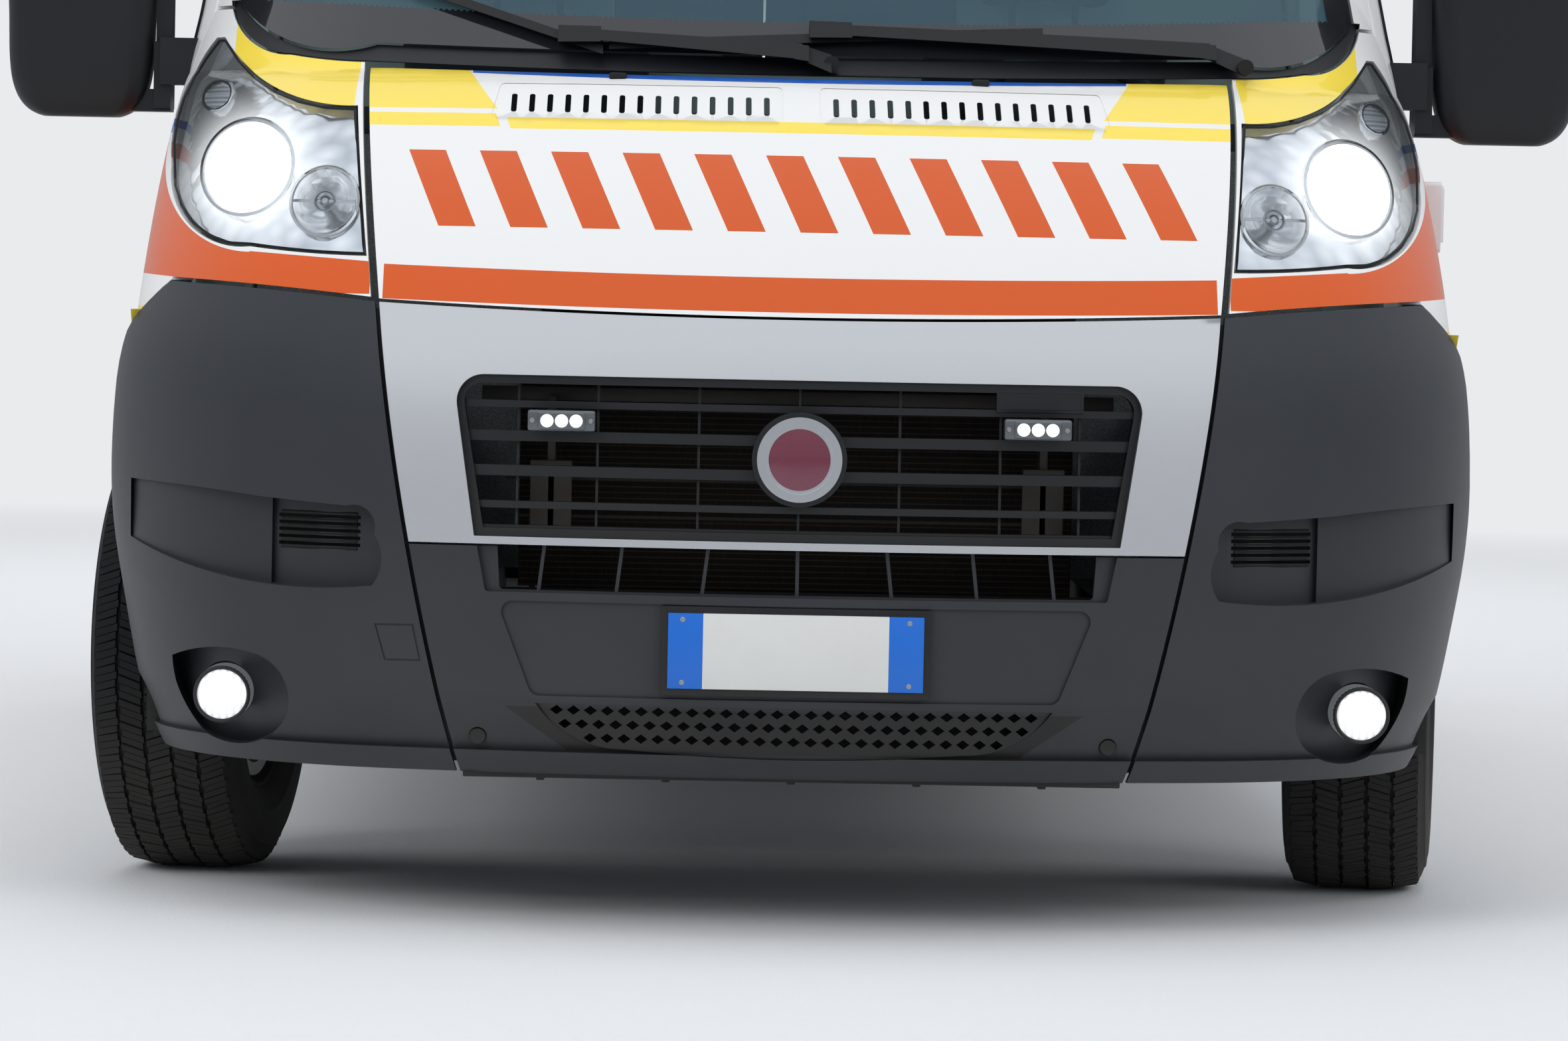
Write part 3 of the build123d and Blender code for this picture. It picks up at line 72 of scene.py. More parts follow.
scene = bpy.context.scene
camera_data = bpy.data.cameras.new("camera")
camera_data.sensor_width = 36
camera_data.lens = 36 * focal_pixels / photo_width
camera_data.clip_end = 400
camera = bpy.data.objects.new("camera", camera_data)
scene.collection.objects.link(camera)
aim = Matrix.Translation(camera_place)
for angle, axis in ((camera_turn, "Z"), (camera_tip, "X"), (camera_roll, "Y"), (math.pi / 2, "X")):
    aim = aim @ Matrix.Rotation(angle, 4, axis)
camera.matrix_world = aim
scene.camera = camera
scene.view_settings.view_transform = "Standard"
print("lens:", round(camera_data.lens, 1), "mm")

# %% [markdown]
# Shader maths reads best as plain expressions. A Signal wraps one output socket and
# turns Python's operators into Math nodes. A Tree makes any node from its settings and
# the values of its sockets, and a Finish is the tree of one material.


# %% Shader helpers
def linear(hex_colour):
    """A screen colour such as F3E070, as the linear values that a shader wants."""
    values = (int(hex_colour[i:i + 2], 16) / 255 for i in (0, 2, 4))
    return tuple(v / 12.92 if v <= 0.04045 else ((v + 0.055) / 1.055) ** 2.4 for v in values)


def dimmed(colour, share):
    return tuple(c * share for c in colour)


def operator(name, swapped=False):
    """A method of Signal, or an operator of Python, that adds one Math node."""
    return lambda *values: values[0].math(name, *(reversed(values) if swapped else values))


class Signal:
    def __init__(self, tree, socket):
        self.tree = tree
        self.socket = socket

    def math(self, operation, *values):
        return self.tree.node("Math", dict(enumerate(values)), operation=operation)

    __add__ = __radd__ = operator("ADD")
    __mul__ = __rmul__ = operator("MULTIPLY")
    __sub__, __rsub__ = operator("SUBTRACT"), operator("SUBTRACT", True)
    __gt__, __lt__, __pow__, either = map(operator, ("GREATER_THAN", "LESS_THAN", "POWER", "MAXIMUM"))
    __abs__, wave, root, part = map(operator, ("ABSOLUTE", "SINE", "SQRT", "FRACT"))

    def between(self, low, high):
        return (self > low) * (self < high)

    def clamped(self):
        return self.math("MINIMUM", self.either(0), 1)


class Tree:
    def __init__(self, tree):
        self.tree = tree

    def node(self, kind, inputs=None, output=0, **settings):
        made = self.tree.nodes.new("ShaderNode" + kind)
        for key, value in settings.items():
            setattr(made, key, value)
        for key, value in (inputs or {}).items():
            self.join(value, made.inputs[key])
        return Signal(self, made.outputs[output])

    def join(self, value, socket):
        """A socket's value: a Signal, a number, or a colour as three numbers or as hex."""
        if isinstance(value, Signal):
            self.tree.links.new(value.socket, socket)
        elif socket.type == "RGBA":
            socket.default_value = (*(linear(value) if isinstance(value, str) else value), 1)
        else:
            socket.default_value = value

    def mix(self, share, below, above):
        return self.node("Mix", {0: share, 6: below, 7: above}, 2, data_type="RGBA")

    def end(self, share, first, second, output="Material Output"):
        """Ends the tree in a mix of two shaders."""
        mixed = self.node("MixShader", {0: share, 1: first, 2: second})
        self.join(mixed, self.tree.nodes[output].inputs["Surface"])


class Finish(Tree):
    SOCKETS = {"colour": "Base Color", "rough": "Roughness", "metal": "Metallic", "coat": "Coat Weight",
               "coat_rough": "Coat Roughness", "specular": "Specular IOR Level", "sheen": "Sheen Weight",
               "glow": "Emission Color", "glow_strength": "Emission Strength"}

    def __init__(self, name):
        self.material = bpy.data.materials.new(name)
        self.material.use_nodes = True
        super().__init__(self.material.node_tree)
        self.shader = self.tree.nodes["Principled BSDF"]
        self.coords = self.node("TexCoord", output="Object")
        self.x, self.y, self.z = (self.node("SeparateXYZ", {0: self.coords}, i) for i in range(3))

    def noise(self, scale, detail=3, rough=0.55, stretch=None):
        place = self.coords
        if stretch:
            place = self.node("Mapping", {0: place, "Scale": stretch})
        return self.node("TexNoise", {"Vector": place, "Scale": scale, "Detail": detail, "Roughness": rough})

    def bump(self, height, distance, strength=1.0):
        normal = self.node("Bump", {"Height": height, "Distance": distance, "Strength": strength})
        self.join(normal, self.shader.inputs["Normal"])
        return self

    def set(self, **sockets):
        for key, value in sockets.items():
            self.join(value, self.shader.inputs[self.SOCKETS[key]])
        return self

# %% [markdown]
# ## Studio
# The studio is a pale floor that meets a pale sky. The sky lights the vehicle softly.
# The camera sees it plain, and paint and chrome see one that brightens upwards, which
# gives them a soft run of tone.

# %% Sky
WHITE_SKY = "E9EBED"
world = bpy.data.worlds.new("studio")
scene.world = world
world.use_nodes = True
sky = Tree(world.node_tree)
upward = sky.node("SeparateXYZ", {0: sky.node("TexCoord", output="Generated")}, 2)
brighter = sky.node("MapRange", {"Value": upward, "From Min": 0.0, "From Max": 0.8,
                                       "To Min": 0.50, "To Max": 1.15})
soft_sky = sky.node("Background", {"Color": (0.82, 0.88, 1.0), "Strength": 0.42})
plain_sky = sky.node("Background", {"Color": WHITE_SKY, "Strength": 1.0})
mirrored_sky = sky.node("Background", {"Color": (0.93, 0.96, 1.0), "Strength": brighter})
glossy, seen, through = (sky.node("LightPath", output="Is " + ray + " Ray")
                         for ray in ("Glossy", "Camera", "Transmission"))
unseen_sky = sky.node("MixShader", {0: glossy, 1: soft_sky, 2: mirrored_sky})
sky.end(seen.either(through), unseen_sky, plain_sky, "World Output")
print("sky nodes:", len(sky.tree.nodes))

# %% Floor
HAZE_START, HAZE_GAIN = 5, 0.12
floor_mesh = bmesh.new()
bmesh.ops.create_grid(floor_mesh, x_segments=1, y_segments=1, size=90)
floor_data = bpy.data.meshes.new("floor")
floor_mesh.to_mesh(floor_data)
floor_mesh.free()
floor = bpy.data.objects.new("floor", floor_data)
scene.collection.objects.link(floor)
ground = Finish("studio_floor")
grain = ground.noise(240, 4)
ground.set(colour=ground.mix(grain, "DEDFE0", "E8E9E9"), rough=0.85).bump(grain, 0.002, 0.3)
haze = (((ground.x * ground.x + ground.y * ground.y).root() - HAZE_START) * HAZE_GAIN).clamped()
ground.end(haze * ground.node("LightPath"), Signal(ground, ground.shader.outputs[0]),
           ground.node("Emission", {"Color": WHITE_SKY}))
floor_data.materials.append(ground.material)
print("floor:", floor.name)

# %% [markdown]
# Large panels of light stand above, in front and beside the vehicle. They are hidden
# from reflections, so glossy paint keeps its colour and shows the sky alone.

# %% Lamps
LAMPS = [
    # name, place, aim, width, height, watts
    ("key", (-6.0, -9.5, 6.5), (0, -1.6, 0.9), 6.0, 5.0, 390),
    ("fill", (7.0, -8.5, 4.5), (0, -1.6, 0.9), 6.0, 4.5, 225),
    ("top", (0, -2.5, 7.5), (0, -0.6, 1.2), 6.0, 9.0, 240),
    ("back", (0, 9.0, 5.5), (0, 1.5, 1.3), 7.0, 4.0, 290),
    ("right", (-9.0, 1.5, 4.5), (0, 0.6, 1.2), 7.0, 3.0, 205),
    ("left", (9.0, 1.5, 4.5), (0, 0.6, 1.2), 7.0, 3.0, 205),
]
for name, place, target, width, height, watts in LAMPS:
    data = bpy.data.lights.new(name, "AREA")
    data.shape = "RECTANGLE"
    data.size = width
    data.size_y = height
    data.energy = watts
    lamp = bpy.data.objects.new(name, data)
    lamp.location = place
    lamp.rotation_euler = (Vector(target) - Vector(place)).to_track_quat("-Z", "Y").to_euler()
    lamp.visible_glossy = False
    scene.collection.objects.link(lamp)
print("lights:", len(LAMPS))

# %% [markdown]
# ## Paint and livery
# The body is white, with an orange band at waist height, a yellow band below it and a
# thin blue line above. Vinyl film is cut straight by height, so a few comparisons of
# the coordinates draw it, and it goes round every panel without a break. It lies on
# the outside alone: the sides lean inwards, and what is behind that lean stays white.

# %% Livery colours
WHITE, ORANGE, YELLOW, BLUE = "E2E2E0", "CC5000", "F0D548", "1A58B0"
YELLOW_BAND, ORANGE_BAND, BLUE_LINE = (0.765, 0.875), (0.924, 1.125), (1.150, 1.163)  # heights
SIDE_LEAN, SIDE_DEPTH, REAR_DEPTH = 0.0883, 1.0464, 2.6255  # how far out the film starts


def road_film(finish, colour, amount=0.1):
    """Dust that gathers low down and thins out upwards."""
    low = ((0.75 - finish.z) * 1.3).clamped()
    cloud = finish.noise(3.2, 5)
    dust = (low * cloud * amount * 2).clamped()
    return finish.mix(dust, colour, "8C857A")


def gloss(finish, colour):
    finish.set(colour=road_film(finish, colour), rough=0.34 + finish.noise(40, 2) * 0.08, specular=0.22,
               coat=0.4, coat_rough=0.04)
    return finish.bump(finish.noise(900, 2), 0.00008, 0.2)


def side_livery(name):
    """Bands at fixed heights on the outside of the body sides and rear, and none inside."""
    finish = Finish(name)
    z = finish.z
    outside = (abs(finish.x) + z * SIDE_LEAN > SIDE_DEPTH).either(finish.y > REAR_DEPTH)
    colour = WHITE
    for band, film_and_reflection in ((YELLOW_BAND, YELLOW), (ORANGE_BAND, ORANGE), (BLUE_LINE, BLUE)):
        colour = finish.mix(z.between(*band) * outside, colour, film_and_reflection)
    return gloss(finish, colour)


body_paint = side_livery("body_paint")
print("bands:", YELLOW_BAND, ORANGE_BAND, BLUE_LINE)

# %% [markdown]
# The bonnet and the wings carry film cut to their own shapes: a bowed stripe, corners
# and slanted bars. Each shape is a product of comparisons of height and distance from
# the centre, so its edge stays sharp at any size, which a painted picture would not.

# %% Bonnet livery
BAR_PITCH = 9.6  # bars in each metre


def bonnet_livery():
    """Orange along the bowed lower edge, yellow corners, thin lines and slanted bars."""
    finish = Finish("bonnet_paint")
    x, z = finish.x, finish.z
    span = abs(x)
    level = z - x * x * 0.0245
    colour = finish.mix(level.between(0.8855, 0.935) * (span < 0.5985), WHITE, ORANGE)
    corner = (z > 1.176) * (span > (z - 1.176) * 0.78 + 0.447)
    colour = finish.mix(corner, colour, YELLOW)
    outer_line = z.between(1.149, 1.169) * (span > (z - 1.149) * 0.4 + 0.441)
    inner_line = z.between(1.146, 1.163) * (span < (z - 1.146) * 0.4 + 0.426)
    colour = finish.mix(outer_line.either(inner_line), colour, YELLOW)
    blue_line = (level - x * x * 0.012).between(1.2245, 1.2345) * (span < 0.49)
    colour = finish.mix(blue_line, colour, BLUE)
    along = x + (z - 1.056) * 0.45
    bars = ((along * BAR_PITCH + 0.26).part() < 0.52) * z.between(1.0, 1.112) * (abs(along) < 5.4 / BAR_PITCH)
    colour = finish.mix(bars, colour, ORANGE)
    return gloss(finish, colour)


bonnet_paint = bonnet_livery()
print("bar spacing:", round(1000 / BAR_PITCH), "mm")


# %% Front wing livery
def wing_livery():
    """Orange under the lamp and along the side, yellow above the lamp, white margins."""
    finish = Finish("wing_paint")
    x, z = finish.x, finish.z
    span = abs(x)
    front = (span > 0.6175) * (z > span * 0.078 + 0.8475)
    below_lamp = (z < 0.9475 + (span - 0.63) * 0.065).either(span > 0.80)
    away = ((span - 0.80) * (span - 0.80) + (z - 1.12) * (z - 1.12)) > 0.1625 ** 2
    front = front * below_lamp * away.either(span < 0.80)
    colour = finish.mix(z.between(*YELLOW_BAND) * (span > 0.94), WHITE, YELLOW)
    colour = finish.mix(z.between(0.900, 1.125) * front, colour, ORANGE)
    colour = finish.mix(z.between(1.140, 1.163) * (span > 0.93), colour, BLUE)
    colour = finish.mix((z > 1.172) * (span < 0.868) * (span > 0.662), colour, YELLOW)
    return gloss(finish, colour)


wing_paint = wing_livery()
print("paints:", body_paint.material.name, bonnet_paint.material.name, wing_paint.material.name)

# %% [markdown]
# ## Plastics, metals and glass
# Bumpers are grained polypropylene, dull and slightly blue-grey with age. The grain is
# a fine noise in the bump, and larger clouds of tone keep it from looking flat.


# %% Plastics
def grained_plastic(name, dark, light, rough=0.55, grain_size=1400, shade=None):
    finish = Finish(name)
    clouds = finish.noise(6, 5)
    colour = finish.mix(clouds, dark, light)
    if shade:
        # painted shade: where a mask is given, the plastic is painted near black
        colour = finish.mix(shade(finish.x, finish.z), colour, "121315")
    finish.set(colour=road_film(finish, colour, 0.08), rough=rough + clouds * 0.1, specular=0.38)
    return finish.bump(finish.noise(grain_size, 2), 0.0004, 0.3)


def mesh_painted_shade(x, z):
    """The stretch of the lower bumper that is pierced as a mesh, painted near black as the shade in its
    recess and holes.
    """
    return z.between(0.258, 0.322) * (abs(x) < 0.41 - (0.322 - z) * 1.4)


bumper_plastic = grained_plastic("bumper_plastic", "212429", "2A2D32", 0.42)
centre_plastic = grained_plastic("centre_plastic", "212429", "2A2D32", 0.42, 1400, mesh_painted_shade)
black_plastic = grained_plastic("black_plastic", "101114", "17191C", 0.42)
rough_black = grained_plastic("rough_black", "0E0F10", "17181A", 0.6)
trim_plastic = grained_plastic("trim_plastic", "2A2D30", "35383B", 0.55)
cabin_plastic = grained_plastic("cabin_plastic", "33353A", "3F4146", 0.65)
wall_panel = grained_plastic("wall_panel", "C9CCCC", "D8DAD9", 0.5, 500)

# %% [markdown]
# Bare and plated metals differ by tone, roughness and how metallic they are, so one
# function makes them all. Slow clouds in the roughness keep a mirror from looking new.


# %% Metals
def metal(name, colour, rough, metallic=1.0, grain=60):
    finish = Finish(name)
    clouds = finish.noise(grain, 4)
    tone = linear(colour)
    return finish.set(colour=finish.mix(clouds, tone, dimmed(tone, 0.82)), rough=clouds * 0.1 + rough,
                      metal=metallic)


def silver_paint():
    """Aluminium-flake paint: a fine speckle of tone under a thin clear coat."""
    finish = Finish("silver_paint")
    tone = finish.mix(finish.noise(1400, 2), "B0B2B6", "C6C8CB")
    finish.set(colour=road_film(finish, tone), rough=0.33, metal=0.6, coat=0.4, coat_rough=0.15)
    return finish.bump(finish.noise(1500, 2), 0.00015, 0.25)


silver = silver_paint()
chrome = metal("chrome", "F2F3F4", 0.05)
flasher_shell = metal("flasher_shell", "6E7276", 0.22, 0.8, 30)
steel_wheel = metal("wheel_paint", "8E9194", 0.38, 0.6, 25)
chassis = metal("chassis_paint", "1B1B1C", 0.6, 0.1, 12)
cast_iron = metal("cast_iron", "3A3836", 0.7, 0.5, 30)
screw_steel = metal("screw_steel", "A8A9AA", 0.3)
alloy_tube = metal("alloy_tube", "BCBEC1", 0.28)


# %% Lamp reflector
def lamp_reflector():
    """Vacuum-metallised plastic: smooth, with broad facets, a faint painted glow all over and a painted pool
    of light next to the lit bowl.
    """
    finish = Finish("lamp_reflector")
    cells = finish.node("TexVoronoi", {"Vector": finish.coords, "Scale": 27.0, "Smoothness": 0.35},
                        "Distance", feature="SMOOTH_F1")
    across, up = abs(finish.x) - 0.819, finish.z - 1.085
    from_lamp = (across * across + up * up).root()
    # painted light: the reflector glows faintly all over and brightly round the lit low beam, though it is no
    # lamp
    painted_light_pool = (1 - (from_lamp - 0.070) * 14).clamped()
    ribs = (finish.z * 520).wave() * 0.5 + 0.5
    finish.set(colour=finish.mix(cells, "F4F5F6", "A9AFB6"), rough=0.07 + cells * 0.12, metal=1.0,
               glow=finish.mix(painted_light_pool * painted_light_pool, (0.09, 0.095, 0.10), (0.95, 0.96, 0.97)), glow_strength=1.0)
    return finish.bump(cells + ribs * 0.05, 0.006, 0.35)


reflector = lamp_reflector()

# %% [markdown]
# Glass shows what is behind it and mirrors what is in front, and it mirrors most where
# it is seen at a slant. A transparent shader and a glossy film are mixed by that slant,
# which renders faster than real refraction and never turns dark behind a thin pane.


# %% Glass
def clear_glass(name, tint, density, shine=0.06, border=None, film_and_reflection=(0.05, 0.055, 0.055)):
    """See-through glass under a mirror-like skin whose colour, on the windscreen, is a painted reflection; a
    border mask turns part of it black.
    """
    finish = Finish(name)
    streaks = finish.noise(2.5, 4, stretch=(1, 1, 3))
    film_and_reflection_tone = finish.mix(streaks, dimmed(film_and_reflection, 0.8), film_and_reflection)
    if border:
        film_and_reflection_tone = finish.mix(border(finish), film_and_reflection_tone, (0.012, 0.013, 0.016))
    finish.set(colour=film_and_reflection_tone, rough=0.03, specular=0.6)
    facing = finish.node("LayerWeight", {"Blend": 0.5}, 1)
    share = facing ** 5.0 * 0.9 + density + shine
    if border:
        share = share.either(border(finish))
    finish.end(share.clamped(), finish.node("BsdfTransparent", {"Color": tint}),
               Signal(finish, finish.shader.outputs[0]))
    return finish


def screen_border(finish):
    """The baked black band round the windscreen, with a ragged row of dots at its edge."""
    x, z = finish.x, finish.z
    dots = (x * 700).wave() * 0.0015
    low = z < x * x * 0.0447 + 1.320 + dots
    side = abs(x) > 0.943 - z * 0.0893
    return low.either(side).either(z > 1.93)


lamp_lens = clear_glass("lamp_lens", (0.96, 0.97, 0.98), 0.0, 0.02)
# painted reflection: the windscreen's skin is a light blue-grey that stands for the sky it mirrors
screen_glass = clear_glass("screen_glass", (0.62, 0.71, 0.69), 0.20, 0.05, screen_border, (0.11, 0.22, 0.30))
window_glass = clear_glass("window_glass", (0.62, 0.70, 0.68), 0.08)
privacy_glass = clear_glass("privacy_glass", (0.25, 0.28, 0.29), 0.55)


def lit(name, colour, strength):
    finish = Finish(name)
    glow = finish.mix(finish.noise(60, 2), colour, dimmed(colour, 0.9))
    return finish.set(colour=colour, glow=glow, glow_strength=strength, rough=0.2)


low_beam_glow = lit("low_beam_glow", (1.0, 0.99, 0.96), 3.0)
led_glow = lit("led_glow", (0.93, 0.96, 1.0), 0.85)

# %% [markdown]
# Lamp glass is pressed into flutes or small prisms that break up the light. Sine waves
# of the coordinates draw them, as a bump and as a change of tone.


# %% Lamp glasses
def fluted(name, colour, strength, step):
    """Pressed lamp glass with upright flutes, lit from behind."""
    finish = Finish(name)
    flutes = (finish.x * (math.tau / step)).wave() * 0.5 + 0.5
    glow = finish.mix(flutes, dimmed(colour, 0.55), colour)
    finish.set(colour=finish.mix(flutes, dimmed(colour, 0.8), colour), glow=glow,
               glow_strength=strength, rough=0.08 + finish.noise(80, 2) * 0.05, coat=1.0)
    return finish.bump(flutes, 0.002, 0.5)


def moulded_lens(name, colour, step, strength=0.0):
    """Coloured acrylic with a fine grid of prisms inside and a gloss skin."""
    finish = Finish(name)
    x, z = finish.x, finish.z
    grid = ((x * (math.tau / step)).wave() * (z * (math.tau / step)).wave()) * 0.5 + 0.5
    deep = dimmed(colour, 0.45)
    finish.set(colour=finish.mix(grid, deep, colour), rough=0.12 + finish.noise(60, 2) * 0.06, coat=1.0,
               coat_rough=0.03, glow=finish.mix(grid, deep, colour), glow_strength=strength)
    return finish.bump(grid, 0.001, 0.4)


fog_glow = fluted("fog_glow", (0.97, 0.98, 1.0), 0.62, 0.0105)
blue_lens = moulded_lens("blue_lens", (0.03, 0.13, 0.75), 0.012, 0.12)
amber_lens = moulded_lens("amber_lens", (0.85, 0.30, 0.02), 0.008)
brake_lens = moulded_lens("brake_lens", (0.55, 0.015, 0.015), 0.007)


def tail_lens():
    """One tall rear lamp: reversing light at the foot, then amber, then red."""
    finish = Finish("tail_lens")
    x, y, z = finish.x, finish.y, finish.z
    prisms = (z * 900).wave() * ((x + y) * 900).wave() * 0.5 + 0.5
    colour = finish.mix(z > 0.985, (0.78, 0.80, 0.82), (0.85, 0.33, 0.03))
    colour = finish.mix(z > 1.085, colour, (0.50, 0.012, 0.012))
    seams = z.between(0.983, 0.987).either(z.between(1.083, 1.087))
    colour = finish.mix(seams, colour, (0.03, 0.03, 0.03))
    finish.set(colour=finish.mix(prisms * 0.35, colour, (0.02, 0.02, 0.02)), rough=0.1 + prisms * 0.05,
               coat=1.0)
    return finish.bump(prisms, 0.0008, 0.4)


tail_glass = tail_lens()

# %% [markdown]
# Rubber is matt and nearly black, with brown dust that gathers on the lower half of a
# tyre, where a height mask lets it through.


# %% Rubber
def rubber(name, dark="0F1011", light="191A1C"):
    """Matt rubber with a little brown dust low down and a fine, uneven skin."""
    finish = Finish(name)
    clouds = finish.noise(14, 5)
    tone = finish.mix(clouds, dark, light)
    dust = (finish.noise(5, 4) * 0.5 * (0.35 - finish.z) * 3).clamped()
    finish.set(colour=finish.mix(dust, tone, "5F5A52"), rough=0.72 + clouds * 0.15, specular=0.3)
    return finish.bump(finish.noise(500, 3), 0.0006, 0.4)


tyre_rubber = rubber("tyre_rubber")
seal_rubber = rubber("seal_rubber", "0C0D0E", "131416")

# %% [markdown]
# A radiator is flat tubes one above another, with pleated fins between them. Its fins
# are far too many to model, and a fine wave of the coordinate stands for them.


# %% Radiator core
def radiator_core():
    """Flat tubes one above another, with pleated fins between them, in very dark brown tones."""
    finish = Finish("radiator_core")
    tubes = (finish.z * 118).part() < 0.22
    fins = (finish.x * 2400).wave() * 0.5 + 0.5
    tone = finish.mix(fins, "0D0B0A", "221C17")
    tone = finish.mix(tubes, tone, "43362C")
    finish.set(colour=tone, rough=0.6 + finish.noise(20, 3) * 0.2, metal=0.4)
    return finish.bump(tubes * 0.7 + fins * 0.3, 0.003, 0.8)


core_finish = radiator_core()

# %% [markdown]
# Seat cloth shows its threads from close by, so two crossed waves weave it. The cover
# of the mattress is wiped clean every day: it has a leather-like grain and a soft gloss.


# %% Cloth and vinyl
def woven(name, dark, light, step):
    """Seat cloth: threads over and under each other, with a flecked tone."""
    finish = Finish(name)
    x, y, z = finish.x, finish.y, finish.z
    warp = ((x + z * 0.3) * (math.tau / step)).wave()
    weft = ((y + z) * (math.tau / step)).wave()
    threads = warp * weft * 0.5 + 0.5
    fleck = finish.noise(260, 3)
    tone = finish.mix(threads * 0.6 + fleck * 0.4, dark, light)
    finish.set(colour=tone, rough=0.85 + fleck * 0.1, sheen=0.25)
    return finish.bump(threads, 0.0007, 0.6)


def vinyl(name, dark, light):
    """Wipe-clean cover: a leather-like grain of small cells and shallow creases."""
    finish = Finish(name)
    cells = finish.node("TexVoronoi", {"Vector": finish.coords, "Scale": 320.0}, "Distance",
                        feature="DISTANCE_TO_EDGE")
    creases = finish.noise(18, 4, stretch=(1, 0.4, 1))
    finish.set(colour=finish.mix(creases, dark, light), rough=0.42 + creases * 0.15, specular=0.5)
    return finish.bump(cells + creases * 0.8, 0.001, 0.5)


seat_cloth = woven("seat_cloth", "23262D", "3A3E49", 0.0034)
seat_bolster = woven("seat_bolster", "17191D", "24272D", 0.0028)
pad_vinyl = vinyl("pad_vinyl", "C8521A", "DB6224")
strap_web = woven("strap_web", "14161A", "2A2D33", 0.0022)

# %% [markdown]
# The floor of the patient bay is slip-resistant vinyl with chips of grit in it. Noise
# cut off at a threshold leaves separate chips.


# %% Floor covering
def floor_vinyl():
    """Safety flooring: grey vinyl with pale and dark chips and a pebbled skin."""
    finish = Finish("floor_vinyl")
    chips = finish.noise(420, 1)
    tone = finish.mix(chips, "4A4D50", "85898C")
    tone = finish.mix(finish.noise(900, 1) > 0.64, tone, "C9CCCE")
    finish.set(colour=tone, rough=0.6 + chips * 0.15)
    return finish.bump(finish.noise(700, 2), 0.0006, 0.5)


safety_floor = floor_vinyl()

# %% [markdown]
# The number plate is reflective film, blank here, with a blue field at either end. The
# badge is dark red enamel under a clear coat. Both are too small for more than a fine
# grain of tone and a little unevenness in the gloss.

# %% Small finishes
plate_face = Finish("plate_face")
plate_ends = abs(plate_face.x) > 0.131
plate_tone = plate_face.mix(plate_face.noise(9, 4), "D9DAD6", "CFCFCA")
plate_face.set(colour=plate_face.mix(plate_ends, plate_tone, "1467C8"),
               rough=0.32 + plate_face.noise(30, 3) * 0.1)
plate_face.bump(plate_face.noise(300, 2), 0.0002, 0.4)

badge_enamel = Finish("badge_enamel")
badge_enamel.set(colour=badge_enamel.mix(badge_enamel.noise(400, 2), "5E1730", "6E1F3A"),
                 rough=0.22 + badge_enamel.noise(40, 2) * 0.08, coat=1.0)

mirror_glass = metal("mirror_glass", "E2E4E6", 0.02, 1.0, 8)
printed_white = grained_plastic("printed_white", "DADCDD", "E4E5E6", 0.35, 900)
print("finishes:", len(bpy.data.materials))

# %% [markdown]
# ## Helpers for pieces
# New pieces come from bmesh operators. One function turns a finished bmesh into an
# object with a finish, shades it smooth apart from its sharp edges, and lets it ride
# on a body of the frame.

# %% Record lookups
record = frame["record"]
BODY_OF = {node: body for body, members in record["behaviour"]["bodies"].items() for node in members}
JOINTS = {joint["name"]: joint for joint in record["behaviour"]["joints"]}
NOSE = -2.7065  # the foremost point of the vehicle, along y
print("bodies:", len(set(BODY_OF.values())), "joints:", len(JOINTS))

# %% [markdown]
# A direction is named after the way that a ray travels, and a side by its letter, its
# sign along x and its word in the names of bodies and joints.

# %% Directions
AHEAD, BEHIND, UP = Vector((0, 1, 0)), Vector((0, -1, 0)), Vector((0, 0, 1))
FROM_LEFT, FROM_RIGHT = Vector((-1, 0, 0)), Vector((1, 0, 0))
SIDES = (("l", 1, "left", FROM_LEFT), ("r", -1, "right", FROM_RIGHT))


# %% Piece helpers
def sharpen(bm, limit):
    for face in bm.faces:
        face.smooth = True
    for edge in bm.edges:
        edge.smooth = not (len(edge.link_faces) == 2 and edge.calc_face_angle(0) > math.radians(limit))


def finished(name, bm, finish, body, limit):
    """The object of a finished bmesh, which rides on a body of the frame."""
    sharpen(bm, limit)
    data = bpy.data.meshes.new(name)
    bm.to_mesh(data)
    bm.free()
    data.materials.append(finish.material)
    made = bpy.data.objects.new(name, data)
    scene.collection.objects.link(made)
    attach(made, body)
    print(name, "on", body, "faces:", len(data.polygons))
    return made


def piece(name, bm, finish, body="shell", limit=32):
    bmesh.ops.recalc_face_normals(bm, faces=bm.faces)
    return finished(name, bm, finish, body, limit)


def softened(name, finish, width, segments=2, limit=35):
    """A copy of a panel with its sharp edges rounded, which stands for the panel."""
    bm = bmesh.new()
    bm.from_mesh(nodes[name].data)
    bmesh.ops.remove_doubles(bm, verts=bm.verts, dist=0.00002)
    bmesh.ops.dissolve_degenerate(bm, edges=bm.edges, dist=0.00002)
    made = finished(name + "_skin", bm, finish, BODY_OF[name], limit)
    rounding = made.modifiers.new("rounding", "BEVEL")
    rounding.width = width
    rounding.segments = segments
    rounding.limit_method = "ANGLE"
    rounding.angle_limit = math.radians(limit)
    rounding.harden_normals = True
    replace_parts(made, name)
    return made


def ring(bm, centre, profile, steps=48, axis=AHEAD):
    """Turns a profile of (radius, distance along the axis) points about an axis."""
    axis = Vector(axis).normalized()
    side = axis.orthogonal().normalized()
    centre = Vector(centre)
    verts = [bm.verts.new(centre + side * r + axis * d) for r, d in profile]
    edges = [bm.edges.new(pair) for pair in zip(verts, verts[1:])]
    bmesh.ops.spin(bm, geom=verts + edges, cent=centre, axis=axis, angle=math.tau, steps=steps,
                   use_merge=True)
    bmesh.ops.remove_doubles(bm, verts=bm.verts, dist=0.00001)


def box(bm, low, high):
    low, high = Vector(low), Vector(high)
    size = high - low
    place = Matrix.Translation((low + high) / 2) @ Matrix.Diagonal((*size, 1))
    return bmesh.ops.create_cube(bm, size=1, matrix=place)["verts"]


